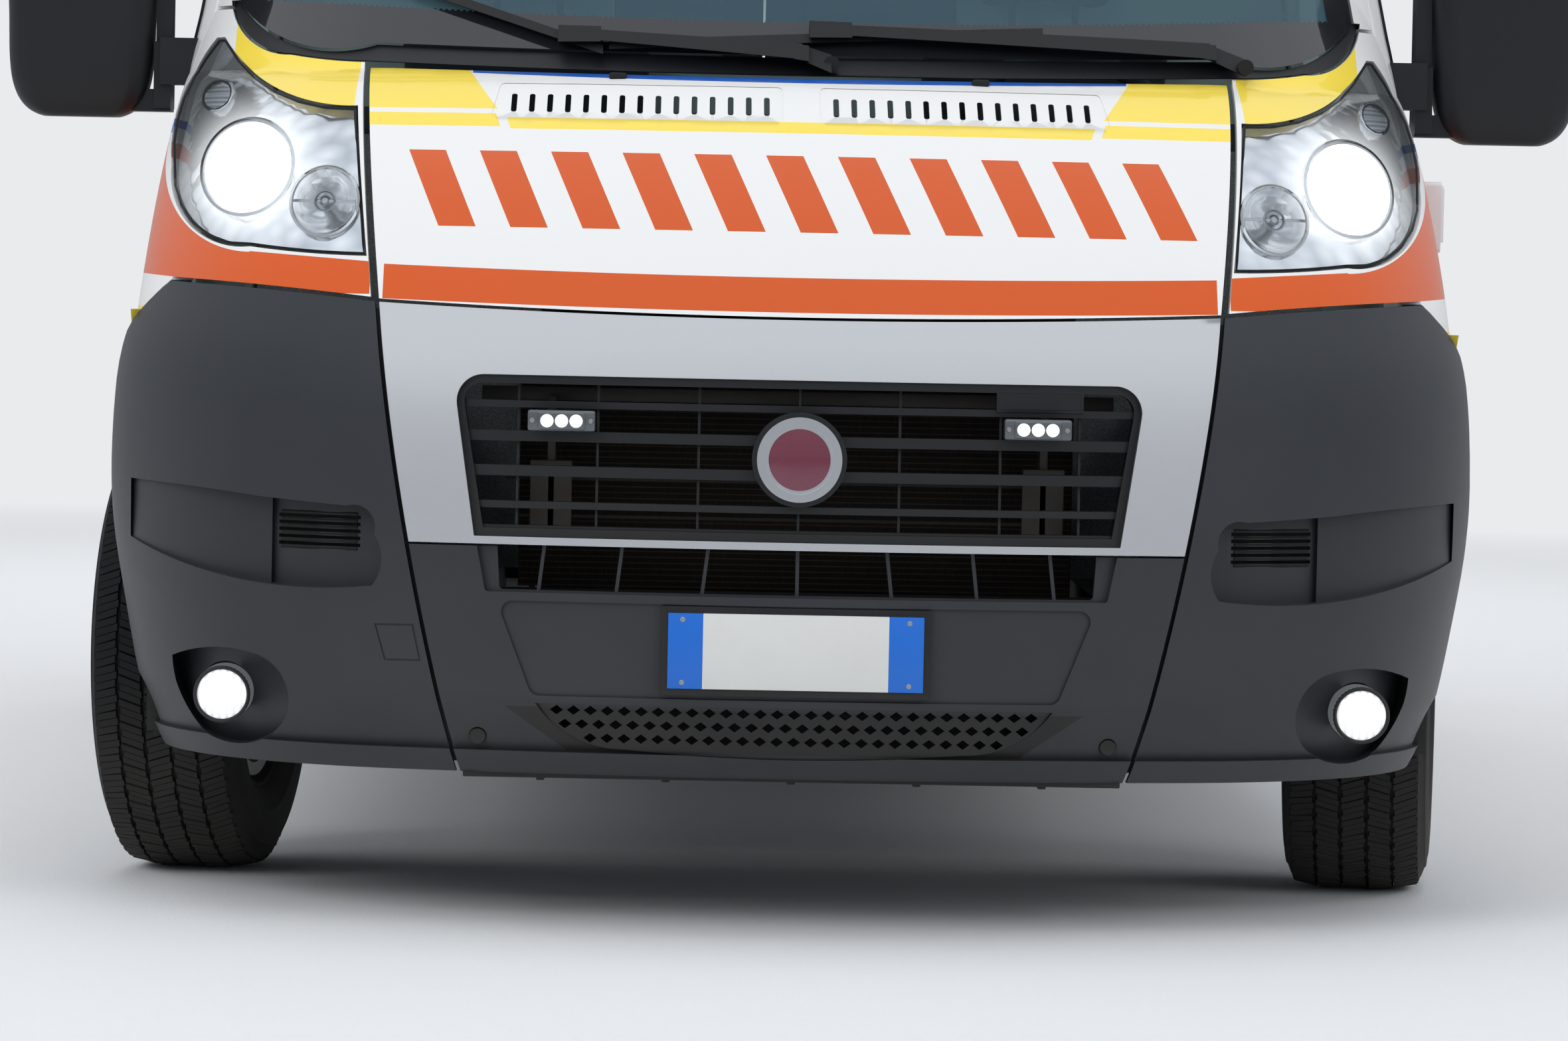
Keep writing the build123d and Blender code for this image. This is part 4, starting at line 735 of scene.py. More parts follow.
def block(bm, low, high, width=0.002, segments=2, turn=None):
    """A box with rounded edges, turned about its own middle where a matrix is given."""
    before = set(bm.verts)
    edges = list({e for v in box(bm, low, high) for e in v.link_edges})
    bmesh.ops.bevel(bm, geom=edges, offset=width, segments=segments, affect="EDGES", profile=0.5, material=-1)
    if turn:
        middle = (Vector(low) + Vector(high)) / 2
        about_middle = Matrix.Translation(middle) @ turn @ Matrix.Translation(-middle)
        bmesh.ops.transform(bm, verts=[v for v in bm.verts if v not in before], matrix=about_middle)


def slab(bm, middle, half, y, z, width=0.002, segments=2, turn=None, back=NOSE):
    """A block with as much to the left of a place as to the right, set back from the nose."""
    block(bm, (middle - half, back + y[0], z[0]), (middle + half, back + y[1], z[1]), width, segments, turn)


def both_sides(bm):
    """Adds the mirror image of everything in a bmesh across the centre plane."""
    bmesh.ops.mirror(bm, geom=bm.verts[:] + bm.edges[:] + bm.faces[:], axis="X", merge_dist=0.000001)
    return bm

# %% [markdown]
# Small parts sit on curved panels. A ray sent at a panel finds the point of its skin
# and the way the skin faces there, so a part is placed by its height and its distance
# from the centre, and always touches what carries it.


# %% Finding the skin
def probe(*names):
    """The faces of the named panels, ready to be searched by rays."""
    bm = bmesh.new()
    for name in names:
        bm.from_mesh(nodes[name].data)
    found = BVHTree.FromBMesh(bm)
    bm.free()
    return found


def on_skin(tree, place, way, out=0.0):
    """Where a ray that passes through a place, from outside, meets the skin."""
    hit, normal, _, _ = tree.ray_cast(Vector(place) - way * 6, way)
    return hit + normal * out


def neighbours(corners):
    """Each corner of a closed outline with the one before it and the one after it."""
    corners = [Vector(c) for c in corners]
    return zip(corners[-1:] + corners[:-1], corners, corners[1:] + corners[:1])


def rounded_path(corners, radius, steps=4):
    """Points round a closed outline, with each corner eased by a curve."""
    path = []
    for before, corner, after in neighbours(corners):
        near = corner + (before - corner).normalized() * radius
        far = corner + (after - corner).normalized() * radius
        for i in range(steps + 1):
            t = i / steps
            path.append(near * (1 - t) ** 2 + corner * 2 * t * (1 - t) + far * t * t)
    return path


def walked(path, step=0.04):
    """The same closed path with no stretch longer than a step."""
    points = []
    for here, there in zip(path, path[1:] + path[:1]):
        count = max(1, round((there - here).length / step))
        points += [here.lerp(there, i / count) for i in range(count)]
    return points


def tube(bm, points, radius, closed=True):
    """A round rod or seal along points, swept as a curve and added to a bmesh."""
    curve = bpy.data.curves.new("path", "CURVE")
    curve.dimensions = "3D"
    curve.bevel_depth = radius
    curve.bevel_resolution = 1
    curve.use_fill_caps = not closed
    spline = curve.splines.new("POLY")
    spline.points.add(len(points) - 1)
    for knot, point in zip(spline.points, points):
        knot.co = (*point, 1)
    spline.use_cyclic_u = closed
    holder = bpy.data.objects.new("path", curve)
    mesh = bpy.data.meshes.new_from_object(holder)
    bm.from_mesh(mesh)
    bpy.data.objects.remove(holder)
    bpy.data.meshes.remove(mesh)
    bpy.data.curves.remove(curve)

# %% [markdown]
# ## The panels
# Pressed steel and moulded plastic have no razor edges: each is folded or radiused by
# two or three millimetres, and the light catches there. The solids are square, so a
# bevel limited by angle rounds every edge of a merged copy. The film on bonnet and
# wings covers their outside, so their hidden faces get the plain paint of the body.


# %% Dress the panels
def bonnet_hidden(face):
    return face.normal.z < 0 or face.normal.y > 0.2


def wing_hidden(face):
    return face.normal.x * face.center.x < -0.1 or face.normal.y > 0.3


for panel, finish, hidden in (
        ("bonnet", bonnet_paint, bonnet_hidden), ("front_wings", wing_paint, wing_hidden)):
    skin = softened(panel, finish, 0.0025).data
    skin.materials.append(body_paint.material)
    for face in skin.polygons:
        face.material_index = int(hidden(face))

SKINS = [
    # finish, width and segments of the rounding, panels
    (body_paint, 0.003, 2, "cab_frame roof_panel box_sides sliding_door rear_frame front_door_l front_door_r "
                           "rear_door_l rear_door_r"),
    (printed_white, 0.003, 2, "side_inlet"),
    (centre_plastic, 0.003, 2, "bumper_centre"),
    (bumper_plastic, 0.004, 2, "bumper_corners"),
    (silver, 0.004, 2, "grille_surround"),
    (black_plastic, 0.0012, 2, "grille"),
    (rough_black, 0.003, 2, "wipers"),
    (chrome, 0.003, 3, "badge_ring"),
    (black_plastic, 0.005, 3, "front_door_trim_l front_door_trim_r"),
    (trim_plastic, 0.004, 2, "rear_bumper side_mouldings beacon_bases"),
    (blue_lens, 0.008, 3, "beacons"),
    (tail_glass, 0.004, 3, "tail_lamps"),
    (cabin_plastic, 0.01, 3, "dashboard"),
    (wall_panel, 0.004, 2, "bulkhead cabinets"),
    (alloy_tube, 0.005, 2, "stretcher"),
]
for finish, width, segments, panels in SKINS:
    for panel in panels.split():
        softened(panel, finish, width, segments)

# %% Dress the rest as it is
for finish, panels in (
        (black_plastic, "cowl_panel"), (rough_black, "arch_liners"), (screen_glass, "windscreen"),
        (window_glass, "front_door_glass_l front_door_glass_r"),
        (privacy_glass, "side_windows rear_door_glass_l rear_door_glass_r"), (lamp_lens, "headlamp_lenses"),
        (reflector, "fog_lamps"), (core_finish, "radiator"), (cast_iron, "engine_block"),
        (safety_floor, "floor_pan"),
        (chassis, "front_subframe rear_axle fuel_tank knuckle_l knuckle_r"),
        (steel_wheel, "wheel_front_l wheel_front_r wheel_rear_l wheel_rear_r")):
    for panel in panels.split():
        nodes[panel].data.materials.clear()
        nodes[panel].data.materials.append(finish.material)

# %% [markdown]
# ## Headlamps
# Behind each clear lens are three bowls of one bright moulding. The large one is lit,
# the smaller one shows its bare bulb with a bar across, and the small round one at the
# top is the turn lamp. Each is drawn flat as turned profiles, which keeps its edges
# crisp, and then slid back point by point so that it follows the sweep of the lens.

# %% Lamp body without its plain cups
LOW_BEAM, HIGH_BEAM, TURN_LAMP = (0.819, 0, 1.085), (0.694, 0, 1.034), (0.886, 0, 1.198)
lens_skin = probe("headlamp_lenses")


def within(face, lamp, radius):
    return all(math.hypot(abs(v.co.x) - lamp[0], v.co.z - lamp[2]) < radius + 0.0006 for v in face.verts)


bm = bmesh.new()
bm.from_mesh(nodes["headlamp_housings"].data)
bmesh.ops.remove_doubles(bm, verts=bm.verts, dist=0.00002)
CUPS = ((LOW_BEAM, 0.077), (HIGH_BEAM, 0.054), (TURN_LAMP, 0.028))
cups = [face for face in bm.faces if any(within(face, *cup) for cup in CUPS)]
print("lamp faces taken out:", len(cups))
bmesh.ops.delete(bm, geom=cups, context="FACES")
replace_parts(piece("lamp_bodies", bm, reflector), "headlamp_housings")


# %% Lamp bowls
def draped(bm):
    """Slides each point back by the sweep of the lens there, and adds the right-hand lamps."""
    for vert in bm.verts:
        vert.co.y += on_skin(lens_skin, (max(vert.co.x, 0.643), 0, vert.co.z), AHEAD).y
    return both_sides(bm)


LIT_BOWL = [(0, 0.02), (0.02, 0.0203), (0.04, 0.0215), (0.055, 0.024), (0.063, 0.028), (0.0668, 0.034),
            (0.0668, 0.044), (0, 0.044)]
LOW_RIM = [(0.0662, 0.085), (0.0662, 0.03), (0.068, 0.018), (0.071, 0.0135), (0.0755, 0.0165),
           (0.0768, 0.026), (0.0768, 0.085), (0.0662, 0.085)]
HIGH_RIM = [(0.0462, 0.03), (0.047, 0.018), (0.0495, 0.0135), (0.053, 0.0165), (0.054, 0.024), (0.054, 0.07),
            (0.053, 0.07), (0.053, 0.034), (0.0462, 0.03)]
TURN_RIM = [(0.0215, 0.034), (0.022, 0.023), (0.0245, 0.02), (0.027, 0.023), (0.0278, 0.034), (0.0278, 0.06),
            (0.0215, 0.06), (0.0215, 0.034)]
HIGH_BOWL = [(0.0465, 0.028), (0.043, 0.04), (0.036, 0.054), (0.026, 0.065), (0.012, 0.071), (0, 0.072),
             (0, 0.075), (0.03, 0.07), (0.048, 0.045), (0.0485, 0.028), (0.0465, 0.028)]
for name, finish, slot, turned in (
        ("low_beam_lamps", low_beam_glow, "lamp_glass", [(LOW_BEAM, LIT_BOWL)]),
        ("lamp_rings", chrome, "chrome", [(LOW_BEAM, LOW_RIM), (HIGH_BEAM, HIGH_RIM), (TURN_LAMP, TURN_RIM)]),
        ("high_beam_bowls", reflector, "lamp_reflector", [(HIGH_BEAM, HIGH_BOWL)])):
    bm = bmesh.new()
    for lamp, profile in turned:
        ring(bm, lamp, profile)
    piece(name, draped(bm), finish)

# %% Bare bulb behind its bar
BULB = [(0, 0.026), (0.004, 0.027), (0.0075, 0.032), (0.0085, 0.042), (0.0085, 0.07), (0, 0.07)]
COLLAR = [(0.013, 0.0285), (0.0145, 0.0255), (0.0165, 0.0285), (0.0165, 0.04), (0.013, 0.04), (0.013, 0.0285)]
x, _, z = HIGH_BEAM
bm = bmesh.new()
ring(bm, HIGH_BEAM, BULB, 20)
slab(bm, x, 0.046, (0.028, 0.033), (z - 0.0022, z + 0.0022), 0.001, back=0)
ring(bm, HIGH_BEAM, COLLAR, 28)
piece("high_beam_bulbs", draped(bm), alloy_tube)


# %% Turn lamps
def turn_lamp_glass():
    """Ribbed clear cover of an unlit lamp, grey because its bowl shows through."""
    finish = Finish("turn_lamp_glass")
    from_centre = abs(finish.z - TURN_LAMP[2]) * 900
    rings = from_centre.wave() * 0.5 + 0.5
    finish.set(colour=finish.mix(rings, "8F9499", "C9CDD0"), rough=0.12 + finish.noise(60, 2) * 0.05,
               coat=1.0)
    return finish.bump(rings, 0.001, 0.5)


bm = bmesh.new()
ring(bm, TURN_LAMP, [(0, 0.021), (0.012, 0.022), (0.0218, 0.028), (0.0218, 0.04), (0, 0.04)], 32)
piece("turn_lamps", draped(bm), turn_lamp_glass())


# %% Seal round each lens
def arc(start, via, end, steps=6):
    """Points of the circle through three places of the front view, after the first one."""
    a, b, c = complex(*start), complex(*via), complex(*end)
    lean = (c - a) / (b - a)
    middle = a - (a - b) * (lean - abs(lean) ** 2) / (2j * lean.imag)
    turn = cmath.phase((c - middle) / (a - middle))
    spots = [middle + (a - middle) * cmath.exp(1j * turn * i / steps) for i in range(1, steps + 1)]
    return [(spot.real, spot.imag) for spot in spots]


lens_edge = [(0.6292, 0.9592), (0.6612, 1.1738)]
lens_edge += arc(lens_edge[-1], (0.7905, 1.2018), (0.889, 1.2878)) + [(0.8989, 1.2878)]
lens_edge += arc(lens_edge[-1], (0.9478, 1.195), (0.9418, 1.09))
lens_edge += arc(lens_edge[-1], (0.9022, 1.006), (0.7998, 0.9702))
lens_edge += arc(lens_edge[-1], (0.715, 0.9622), lens_edge[0])[:-1]
lens_path = [on_skin(lens_skin, (x, 0, z), AHEAD, -0.0015) for x, z in lens_edge]
bm = bmesh.new()
tube(bm, walked(lens_path, 0.02), 0.0019)
piece("lens_seals", both_sides(bm), seal_rubber)

# %% [markdown]
# ## Grille furniture
# Two flat flashing lamps hang between the bars, each with three round emitters under
# its lens and a screw at either end. The round badge is plain enamel in a chrome ring,
# and the small plaque on the right is a bare dark plate.

# %% Flashing lamps
low_corner, high_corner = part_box("grille_flashers")
flash_front, flash_back = low_corner[1], high_corner[1]
flash_low, flash_high = low_corner[2], high_corner[2]
flash_z = (flash_low + flash_high) / 2
EMITTER = [(0, -0.002), (0.005, -0.0017), (0.0085, -0.0008), (0.0098, 0.001), (0.0098, 0.004), (0, 0.004)]
SCREW_HEAD = [(0, -0.0008), (0.003, -0.0004), (0.0042, 0.001), (0.0042, 0.004), (0, 0.004)]
case, domes, screws = bmesh.new(), bmesh.new(), bmesh.new()
for middle in (-0.336, 0.336):
    block(case, (middle - 0.048, flash_front + 0.004, flash_low), (middle + 0.048, flash_back, flash_high),
          0.004, 3)
    slab(case, middle, 0.034, (0.0025, 0.01), (flash_low + 0.002, flash_high - 0.002), 0.003, 3,
         back=flash_front)
    for step in (-0.0205, 0, 0.0205):
        ring(domes, (middle + step, flash_front + 0.0022, flash_z), EMITTER, 24)
    for step in (-0.041, 0.041):
        ring(screws, (middle + step, flash_front + 0.0035, flash_z), SCREW_HEAD, 16)
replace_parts(piece("flasher_cases", case, flasher_shell), "grille_flashers")
piece("flasher_emitters", domes, led_glow)
piece("flasher_screws", screws, screw_steel)

# %% Badge and plaque
BADGE = [(0, -0.0022), (0.02, -0.0019), (0.036, -0.001), (0.0475, 0.0005), (0.0475, 0.003), (0, 0.003)]
bm = bmesh.new()
ring(bm, (0, NOSE + 0.004, 0.679), BADGE, 64)
piece("badge_disc", bm, badge_enamel)

plaque_spot = on_skin(probe("grille"), (0.34, 0, 0.749), AHEAD)
bow = Matrix.Rotation(math.asin(0.34 / 2.4), 4, "Z")
bm = bmesh.new()
block(bm, (0.277, plaque_spot.y - 0.0035, 0.7505), (0.403, plaque_spot.y + 0.0005, 0.7825), 0.0012, 2, bow)
block(bm, (0.281, plaque_spot.y - 0.0042, 0.7545), (0.399, plaque_spot.y - 0.0025, 0.7785), 0.0006, 1, bow)
piece("plain_plaque", bm, black_plastic)

# %% [markdown]
# The plate hangs in a black frame. The frame is a box whose front face is inset and
# pushed back, which leaves a raised rim, and the plate is a thin block inside it.

# %% Number plate
bm = bmesh.new()
plate_front = NOSE + 0.0008
box(bm, (-0.19, plate_front, 0.344), (0.19, plate_front + 0.016, 0.47))
face = min(bm.faces, key=lambda f: f.calc_center_median().y)
bmesh.ops.inset_region(bm, faces=[face], thickness=0.01, depth=0)
bmesh.ops.translate(bm, verts=face.verts, vec=(0, 0.0035, 0))
bmesh.ops.bevel(bm, geom=bm.edges[:], offset=0.0012, segments=2, affect="EDGES", profile=0.5, material=-1)
piece("plate_frame", bm, rough_black)

bm = bmesh.new()
slab(bm, 0, 0.1805, (0.0018, 0.006), (0.3535, 0.4605), 0.0012, back=plate_front)
piece("number_plate", bm, plate_face)

PLATE_SCREW = [(0, -0.0009), (0.0025, -0.0006), (0.0042, 0.0006), (0.0042, 0.002), (0, 0.002)]
bm = bmesh.new()
for x in (-0.16, 0.16):
    for z in (0.3625, 0.4515):
        ring(bm, (x, plate_front + 0.0016, z), PLATE_SCREW, 16)
piece("plate_screws", bm, screw_steel)

# %% [markdown]
# The small round parts of the bumper are turned shapes, like the real mouldings: a
# profile of radius and depth is spun about the axis, and the right side is mirrored.

# %% Bumper plugs and fog lamps
PLUG = [(0, 0.001), (0.006, 0.0), (0.0105, -0.001), (0.0125, 0.002), (0.0125, 0.012), (0, 0.012)]
FOG_LENS = [(0, -0.008), (0.015, -0.0073), (0.028, -0.0045), (0.0355, 0.0), (0.0355, 0.004), (0, 0.004)]
FOG_RIM = [(0.0352, 0.002), (0.036, -0.003), (0.0385, -0.005), (0.041, -0.002), (0.041, 0.006),
           (0.0352, 0.006), (0.0352, 0.002)]
plug_rim = on_skin(probe("bumper_centre", "bumper_corners"), (0.448, 0, 0.292), AHEAD).y
fog_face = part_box("fog_lamps")[0][1]
for name, finish, slot, centre, profile, steps in (
        ("bumper_plugs", rough_black, "grey_plastic", (0.448, plug_rim + 0.006, 0.276), PLUG, 28),
        ("fog_lenses", fog_glow, "lamp_glass", (0.819, fog_face, 0.322), FOG_LENS, 40),
        ("fog_rims", rough_black, "grey_plastic", (0.819, fog_face, 0.322), FOG_RIM, 40)):
    bm = bmesh.new()
    ring(bm, centre, profile, steps)
    piece(name, both_sides(bm), finish)

# %% [markdown]
# Through the grille one sees brackets, a crossbar and pipes before the radiator. They
# are plain blocks and rods, because only their silhouettes show.

# %% Brackets behind the grille
bm = bmesh.new()
for x in (-0.352, 0.352):
    slab(bm, x, 0.03, (0.15, 0.156), (0.57, 0.668))
    slab(bm, x, 0.006, (0.15, 0.215), (0.56, 0.76))
    slab(bm, x, 0.03, (0.138, 0.156), (0.655, 0.668))
slab(bm, 0, 0.455, (0.21, 0.222), (0.752, 0.772))
for z in (0.585, 0.64, 0.694):
    tube(bm, [(x / 10 - 0.42, NOSE + 0.225 + 0.002 * (x % 2), z) for x in range(9)], 0.0022, closed=False)
piece("cooling_brackets", bm, metal("bracket_steel", "4A4642", 0.5, 0.4, 20))

# %% Washer jets
bonnet_top = probe("bonnet")
bm = bmesh.new()
for x in (-0.272, 0.268):
    spot = on_skin(bonnet_top, (x, 0, 1.2275), AHEAD)
    slab(bm, x, 0.013, (-0.006, 0.012), (spot.z - 0.002, spot.z + 0.008), 0.003, back=spot.y)
piece("washer_jets", bm, rough_black, body="bonnet")

# %% [markdown]
# ## Seals and glass edges
# A black rubber runs round every window. It is one thin tube that follows the skin:
# the outline is drawn flat, each of its points is sent at the panel as a ray, and the
# tube is swept through the points that were hit.


# %% Window seals
def side_points(corners, radius, side):
    """An outline given as setback and height in metres, as places on the centre plane."""
    return walked(rounded_path([(side * 0.5, NOSE + s, z) for s, z in corners], radius))


def seal(name, panels, body, outline, way, radius=0.0045):
    skin = probe(*panels)
    bm = bmesh.new()
    tube(bm, [on_skin(skin, place, way) for place in outline], radius)
    piece(name, bm, seal_rubber, body=body)


DOOR_WINDOW = [(1.112, 1.212), (1.43, 1.212), (1.52, 1.29), (2.01, 1.29), (2.01, 1.905), (1.668, 1.905),
               (1.112, 1.322)]
SIDE_WINDOW = [(2.33, 1.27), (3.29, 1.27), (3.29, 1.88), (2.33, 1.88)]
REAR_WINDOW = [(0.095, 1.29), (0.715, 1.29), (0.715, 1.93), (0.095, 1.93)]


def grown(corners, by):
    """The outline, which runs anticlockwise, moved outwards by a distance."""
    moved = []
    for before, corner, after in neighbours(corners):
        first, second = (corner - before).normalized(), (after - corner).normalized()
        out = Vector((first.y + second.y, -first.x - second.x)).normalized()
        moved.append(tuple(corner + out * by / (out.x * first.y - out.y * first.x)))
    return moved


for tag, side, word, way in SIDES:
    seal("door_window_seal_" + tag, ["front_door_" + tag, "front_door_glass_" + tag], "door_" + word,
         side_points(grown(DOOR_WINDOW, 0.004), 0.03, side), way)
    seal("side_window_seal_" + tag, ["box_sides", "sliding_door", "side_windows"], "shell",
         side_points(grown(SIDE_WINDOW, 0.004), 0.075, side), way)
    rear_path = walked(rounded_path([(side * x, 2.5, z) for x, z in grown(REAR_WINDOW, 0.004)], 0.06))
    seal("rear_window_seal_" + tag, ["rear_door_" + tag, "rear_door_glass_" + tag], "rear_door_" + word,
         rear_path, BEHIND)

# %% [markdown]
# ## Mirrors
# Each door mirror has a large flat glass over a small wide-angle one, set back in the
# housing. They are thin rounded plates that sit on the floor of the recess.

# %% Mirror glasses
recess_floor = NOSE + 1.158
for tag, side, word, way in SIDES:
    near, far = sorted((side * 1.036, side * 1.22))
    bm = bmesh.new()
    for low, high in ((1.3, 1.552), (1.222, 1.29)):
        block(bm, (near, recess_floor - 0.002, low), (far, recess_floor + 0.004, high), 0.0018)
    piece("mirror_glass_" + tag, bm, mirror_glass, body="door_" + word)

# %% [markdown]
# ## Tyres
# A van tyre has five ribs of blocks. One pitch of the tread is modelled as a few
# slanted blocks split by narrow cuts, and a spin repeats it round the carcass, so all
# sixty pitches share one small shape.

# %% Carcass
CARCASS = [  # radius, distance from the middle plane, for one half
    (0.191, 0.0), (0.191, 0.07), (0.2065, 0.074), (0.211, 0.08), (0.216, 0.09), (0.2185, 0.0915),
    (0.221, 0.0915), (0.228, 0.0975), (0.242, 0.105), (0.256, 0.1098), (0.258, 0.1112), (0.262, 0.1112),
    (0.264, 0.1108), (0.277, 0.1122), (0.293, 0.1112), (0.307, 0.108), (0.309, 0.1088), (0.312, 0.1082),
    (0.314, 0.106), (0.326, 0.1015), (0.334, 0.0968), (0.3375, 0.0905), (0.3385, 0.08), (0.3395, 0.0)]
RIBS = [  # middle, half width, slant of its cuts
    (-0.0785, 0.017, 0.3), (-0.0395, 0.0165, -0.35), (0.0, 0.017, 0.35), (0.0395, 0.0165, -0.35),
    (0.0785, 0.017, 0.3)]
PITCHES = 60
PITCH_LENGTH = math.tau * 0.346 / PITCHES


def carcass(bm):
    loop = CARCASS + [(r, -d) for r, d in reversed(CARCASS[1:-1])] + CARCASS[:1]
    ring(bm, (0, 0, 0), loop, 96, (1, 0, 0))


def tread_pitch(bm):
    """Three slanted blocks on each rib, and a bar on each shoulder, at the top of the tyre."""
    for rib, (middle, half, slant) in enumerate(RIBS):
        for part in range(3):
            along = (part - 1) * PITCH_LENGTH * 0.32 + (rib % 2) * PITCH_LENGTH * 0.5
            length = PITCH_LENGTH * 0.29
            step = 0.0013 if part == 1 else -0.0008
            for v in box(bm, (middle - half + step, along - length / 2, 0.337),
                         (middle + half + step, along + length / 2, 0.3475)):
                v.co.y += (v.co.x - middle) * slant
                if v.co.z > 0.34:
                    v.co.z -= (v.co.x / 0.0825) ** 2 * 0.002 + max(0, abs(v.co.x) - 0.088) * 0.8
    for side in (-1, 1):
        low, high = sorted((side * 0.096, side * 0.1035))
        for v in box(bm, (low, -PITCH_LENGTH * 0.26, 0.315), (high, PITCH_LENGTH * 0.26, 0.335)):
            v.co.x -= side * (v.co.z - 0.315) * 0.3


def tread(bm):
    shape = bmesh.new()
    tread_pitch(shape)
    whole = shape.verts[:] + shape.edges[:] + shape.faces[:]
    bmesh.ops.spin(shape, geom=whole, cent=(0, 0, 0), axis=(1, 0, 0), steps=PITCHES - 1,
                   angle=math.tau * (PITCHES - 1) / PITCHES, use_duplicate=True)
    mesh = bpy.data.meshes.new("tread")
    shape.to_mesh(mesh)
    shape.free()
    bm.from_mesh(mesh)
    bpy.data.meshes.remove(mesh)


# %% Fit the tyres
BOLTS, BOLT_CIRCLE = 5, 0.081
HUB_CAP = [(0, 0.0885), (0.016, 0.0878), (0.027, 0.085), (0.031, 0.08), (0.031, 0.074), (0, 0.074)]


def wheel_matrix(joint):
    """From a wheel about the X axis at the origin to its place on the vehicle."""
    turn = Vector((1, 0, 0)).rotation_difference(Vector(joint["axis"])).to_matrix().to_4x4()
    return Matrix.Translation(Vector(joint["pos_m"])) @ turn


def bolts(bm, side):
    turn = Matrix.Rotation(side * math.pi / 2, 4, "Y")
    for i in range(BOLTS):
        angle = math.tau * i / BOLTS
        spot = Vector((side * 0.0575, BOLT_CIRCLE * math.cos(angle), BOLT_CIRCLE * math.sin(angle)))
        bmesh.ops.create_cone(bm, cap_ends=True, segments=6, radius1=0.01, radius2=0.0092, depth=0.013,
                              matrix=Matrix.Translation(spot) @ turn)


for end in ("front", "rear"):
    for tag, side, word, way in SIDES:
        place = wheel_matrix(JOINTS[f"{end}_{word}_spin"])
        tyre, nuts, cap = bmesh.new(), bmesh.new(), bmesh.new()
        carcass(tyre)
        tread(tyre)
        bolts(nuts, side)
        ring(cap, (0, 0, 0), HUB_CAP, 36, (side, 0, 0))
        for name, bm, finish, slot, limit in (
                (f"tyre_{end}_{tag}_tread", tyre, tyre_rubber, "tyre", 28),
                (f"wheel_bolts_{end}_{tag}", nuts, screw_steel, "chrome", 32),
                (f"hub_cap_{end}_{tag}", cap, trim_plastic, "black_plastic", 32)):
            bmesh.ops.transform(bm, matrix=place, verts=bm.verts)
            made = piece(name, bm, finish, f"{end}_wheel_{word}", limit)
            if slot == "tyre":
                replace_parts(made, f"tyre_{end}_{tag}")

# %% [markdown]
# ## Under the nose
# A flat tray shields the underside of the engine. Its front lip rises behind the lower
# mesh and darkens it, on top of the shade painted on the mesh, and five ribs stiffen it
# from below. The side vents get their louvres here too: short rods that follow the skin,
# in near-black plastic that paints the shade inside each vent pocket.

# %% Engine undertray
bm = bmesh.new()
slab(bm, 0, 0.47, (0.135, 0.82), (0.214, 0.22))
slab(bm, 0, 0.47, (0.128, 0.134), (0.214, 0.345))
for x in (-0.36, -0.18, 0.0, 0.18, 0.36):
    slab(bm, x, 0.006, (0.16, 0.79), (0.208, 0.215))
piece("engine_undertray", bm, rough_black)

# %% Louvres in the side vents
bm = bmesh.new()
corner_skin = probe("bumper_corners")
for level in range(6):
    z = 0.536 + 0.01 * level
    ends = [on_skin(corner_skin, (x, 0, z), AHEAD) for x in (0.626, 0.7, 0.738)]
    sunk = Vector((0, 0.0004, 0))
    for here, there in zip(ends, ends[1:]):
        tube(bm, [here + sunk, there + sunk], 0.0027, closed=False)
# painted shade: the louvres are near-black plastic, which stands for the shade inside the vent pocket
piece("vent_louvres_painted_shade", both_sides(bm), rough_black)

# %% [markdown]
# ## Front arches
# Between each front arch and its door a narrow strip of painted steel closes the wing.
# It is a fan of quads round the wheel's centre. One edge of it lies on the wing's skin
# and the other on the door's, so the strip bends from one to the other.


# %% Strip between each front arch and its door
WHEEL_SETBACK, WHEEL_HEIGHT = 0.948, 0.348
ARCH_EDGE, STRIP_EDGE, DOOR_RADIUS = 0.4285, 0.464, 0.474


def arch_strip():
    """Painted steel that carries the wing's skin round to the door's curved edge."""
    skin = probe("front_wings", "front_door_l")
    bm = bmesh.new()
    rows = []
    for step in range(26):
        angle = math.radians(79 - 2 * step)
        ahead, up = math.cos(angle), math.sin(angle)
        near, far = [on_skin(skin, (0.5, NOSE + WHEEL_SETBACK + r * ahead, WHEEL_HEIGHT + r * up), FROM_LEFT)
                     for r in (ARCH_EDGE, DOOR_RADIUS)]
        edge = near.lerp(far, (STRIP_EDGE - ARCH_EDGE) / (DOOR_RADIUS - ARCH_EDGE))
        rows.append([bm.verts.new(p - Vector((0.0007, 0, 0))) for p in (near, edge)])
    for here, there in zip(rows, rows[1:]):
        bm.faces.new((*here, *reversed(there)))
    bmesh.ops.recalc_face_normals(bm, faces=bm.faces)
    bmesh.ops.solidify(bm, geom=bm.faces[:], thickness=0.003)
    return both_sides(bm)


piece("arch_strips", arch_strip(), body_paint)

# %% [markdown]
# ## The rear
# The left rear door carries a handle with its lock, and above both doors sits a third
# brake light. They are bevelled boxes that stand a little proud of the skin they were
# placed on, and so are the reflectors, the side markers and the treads of the step.

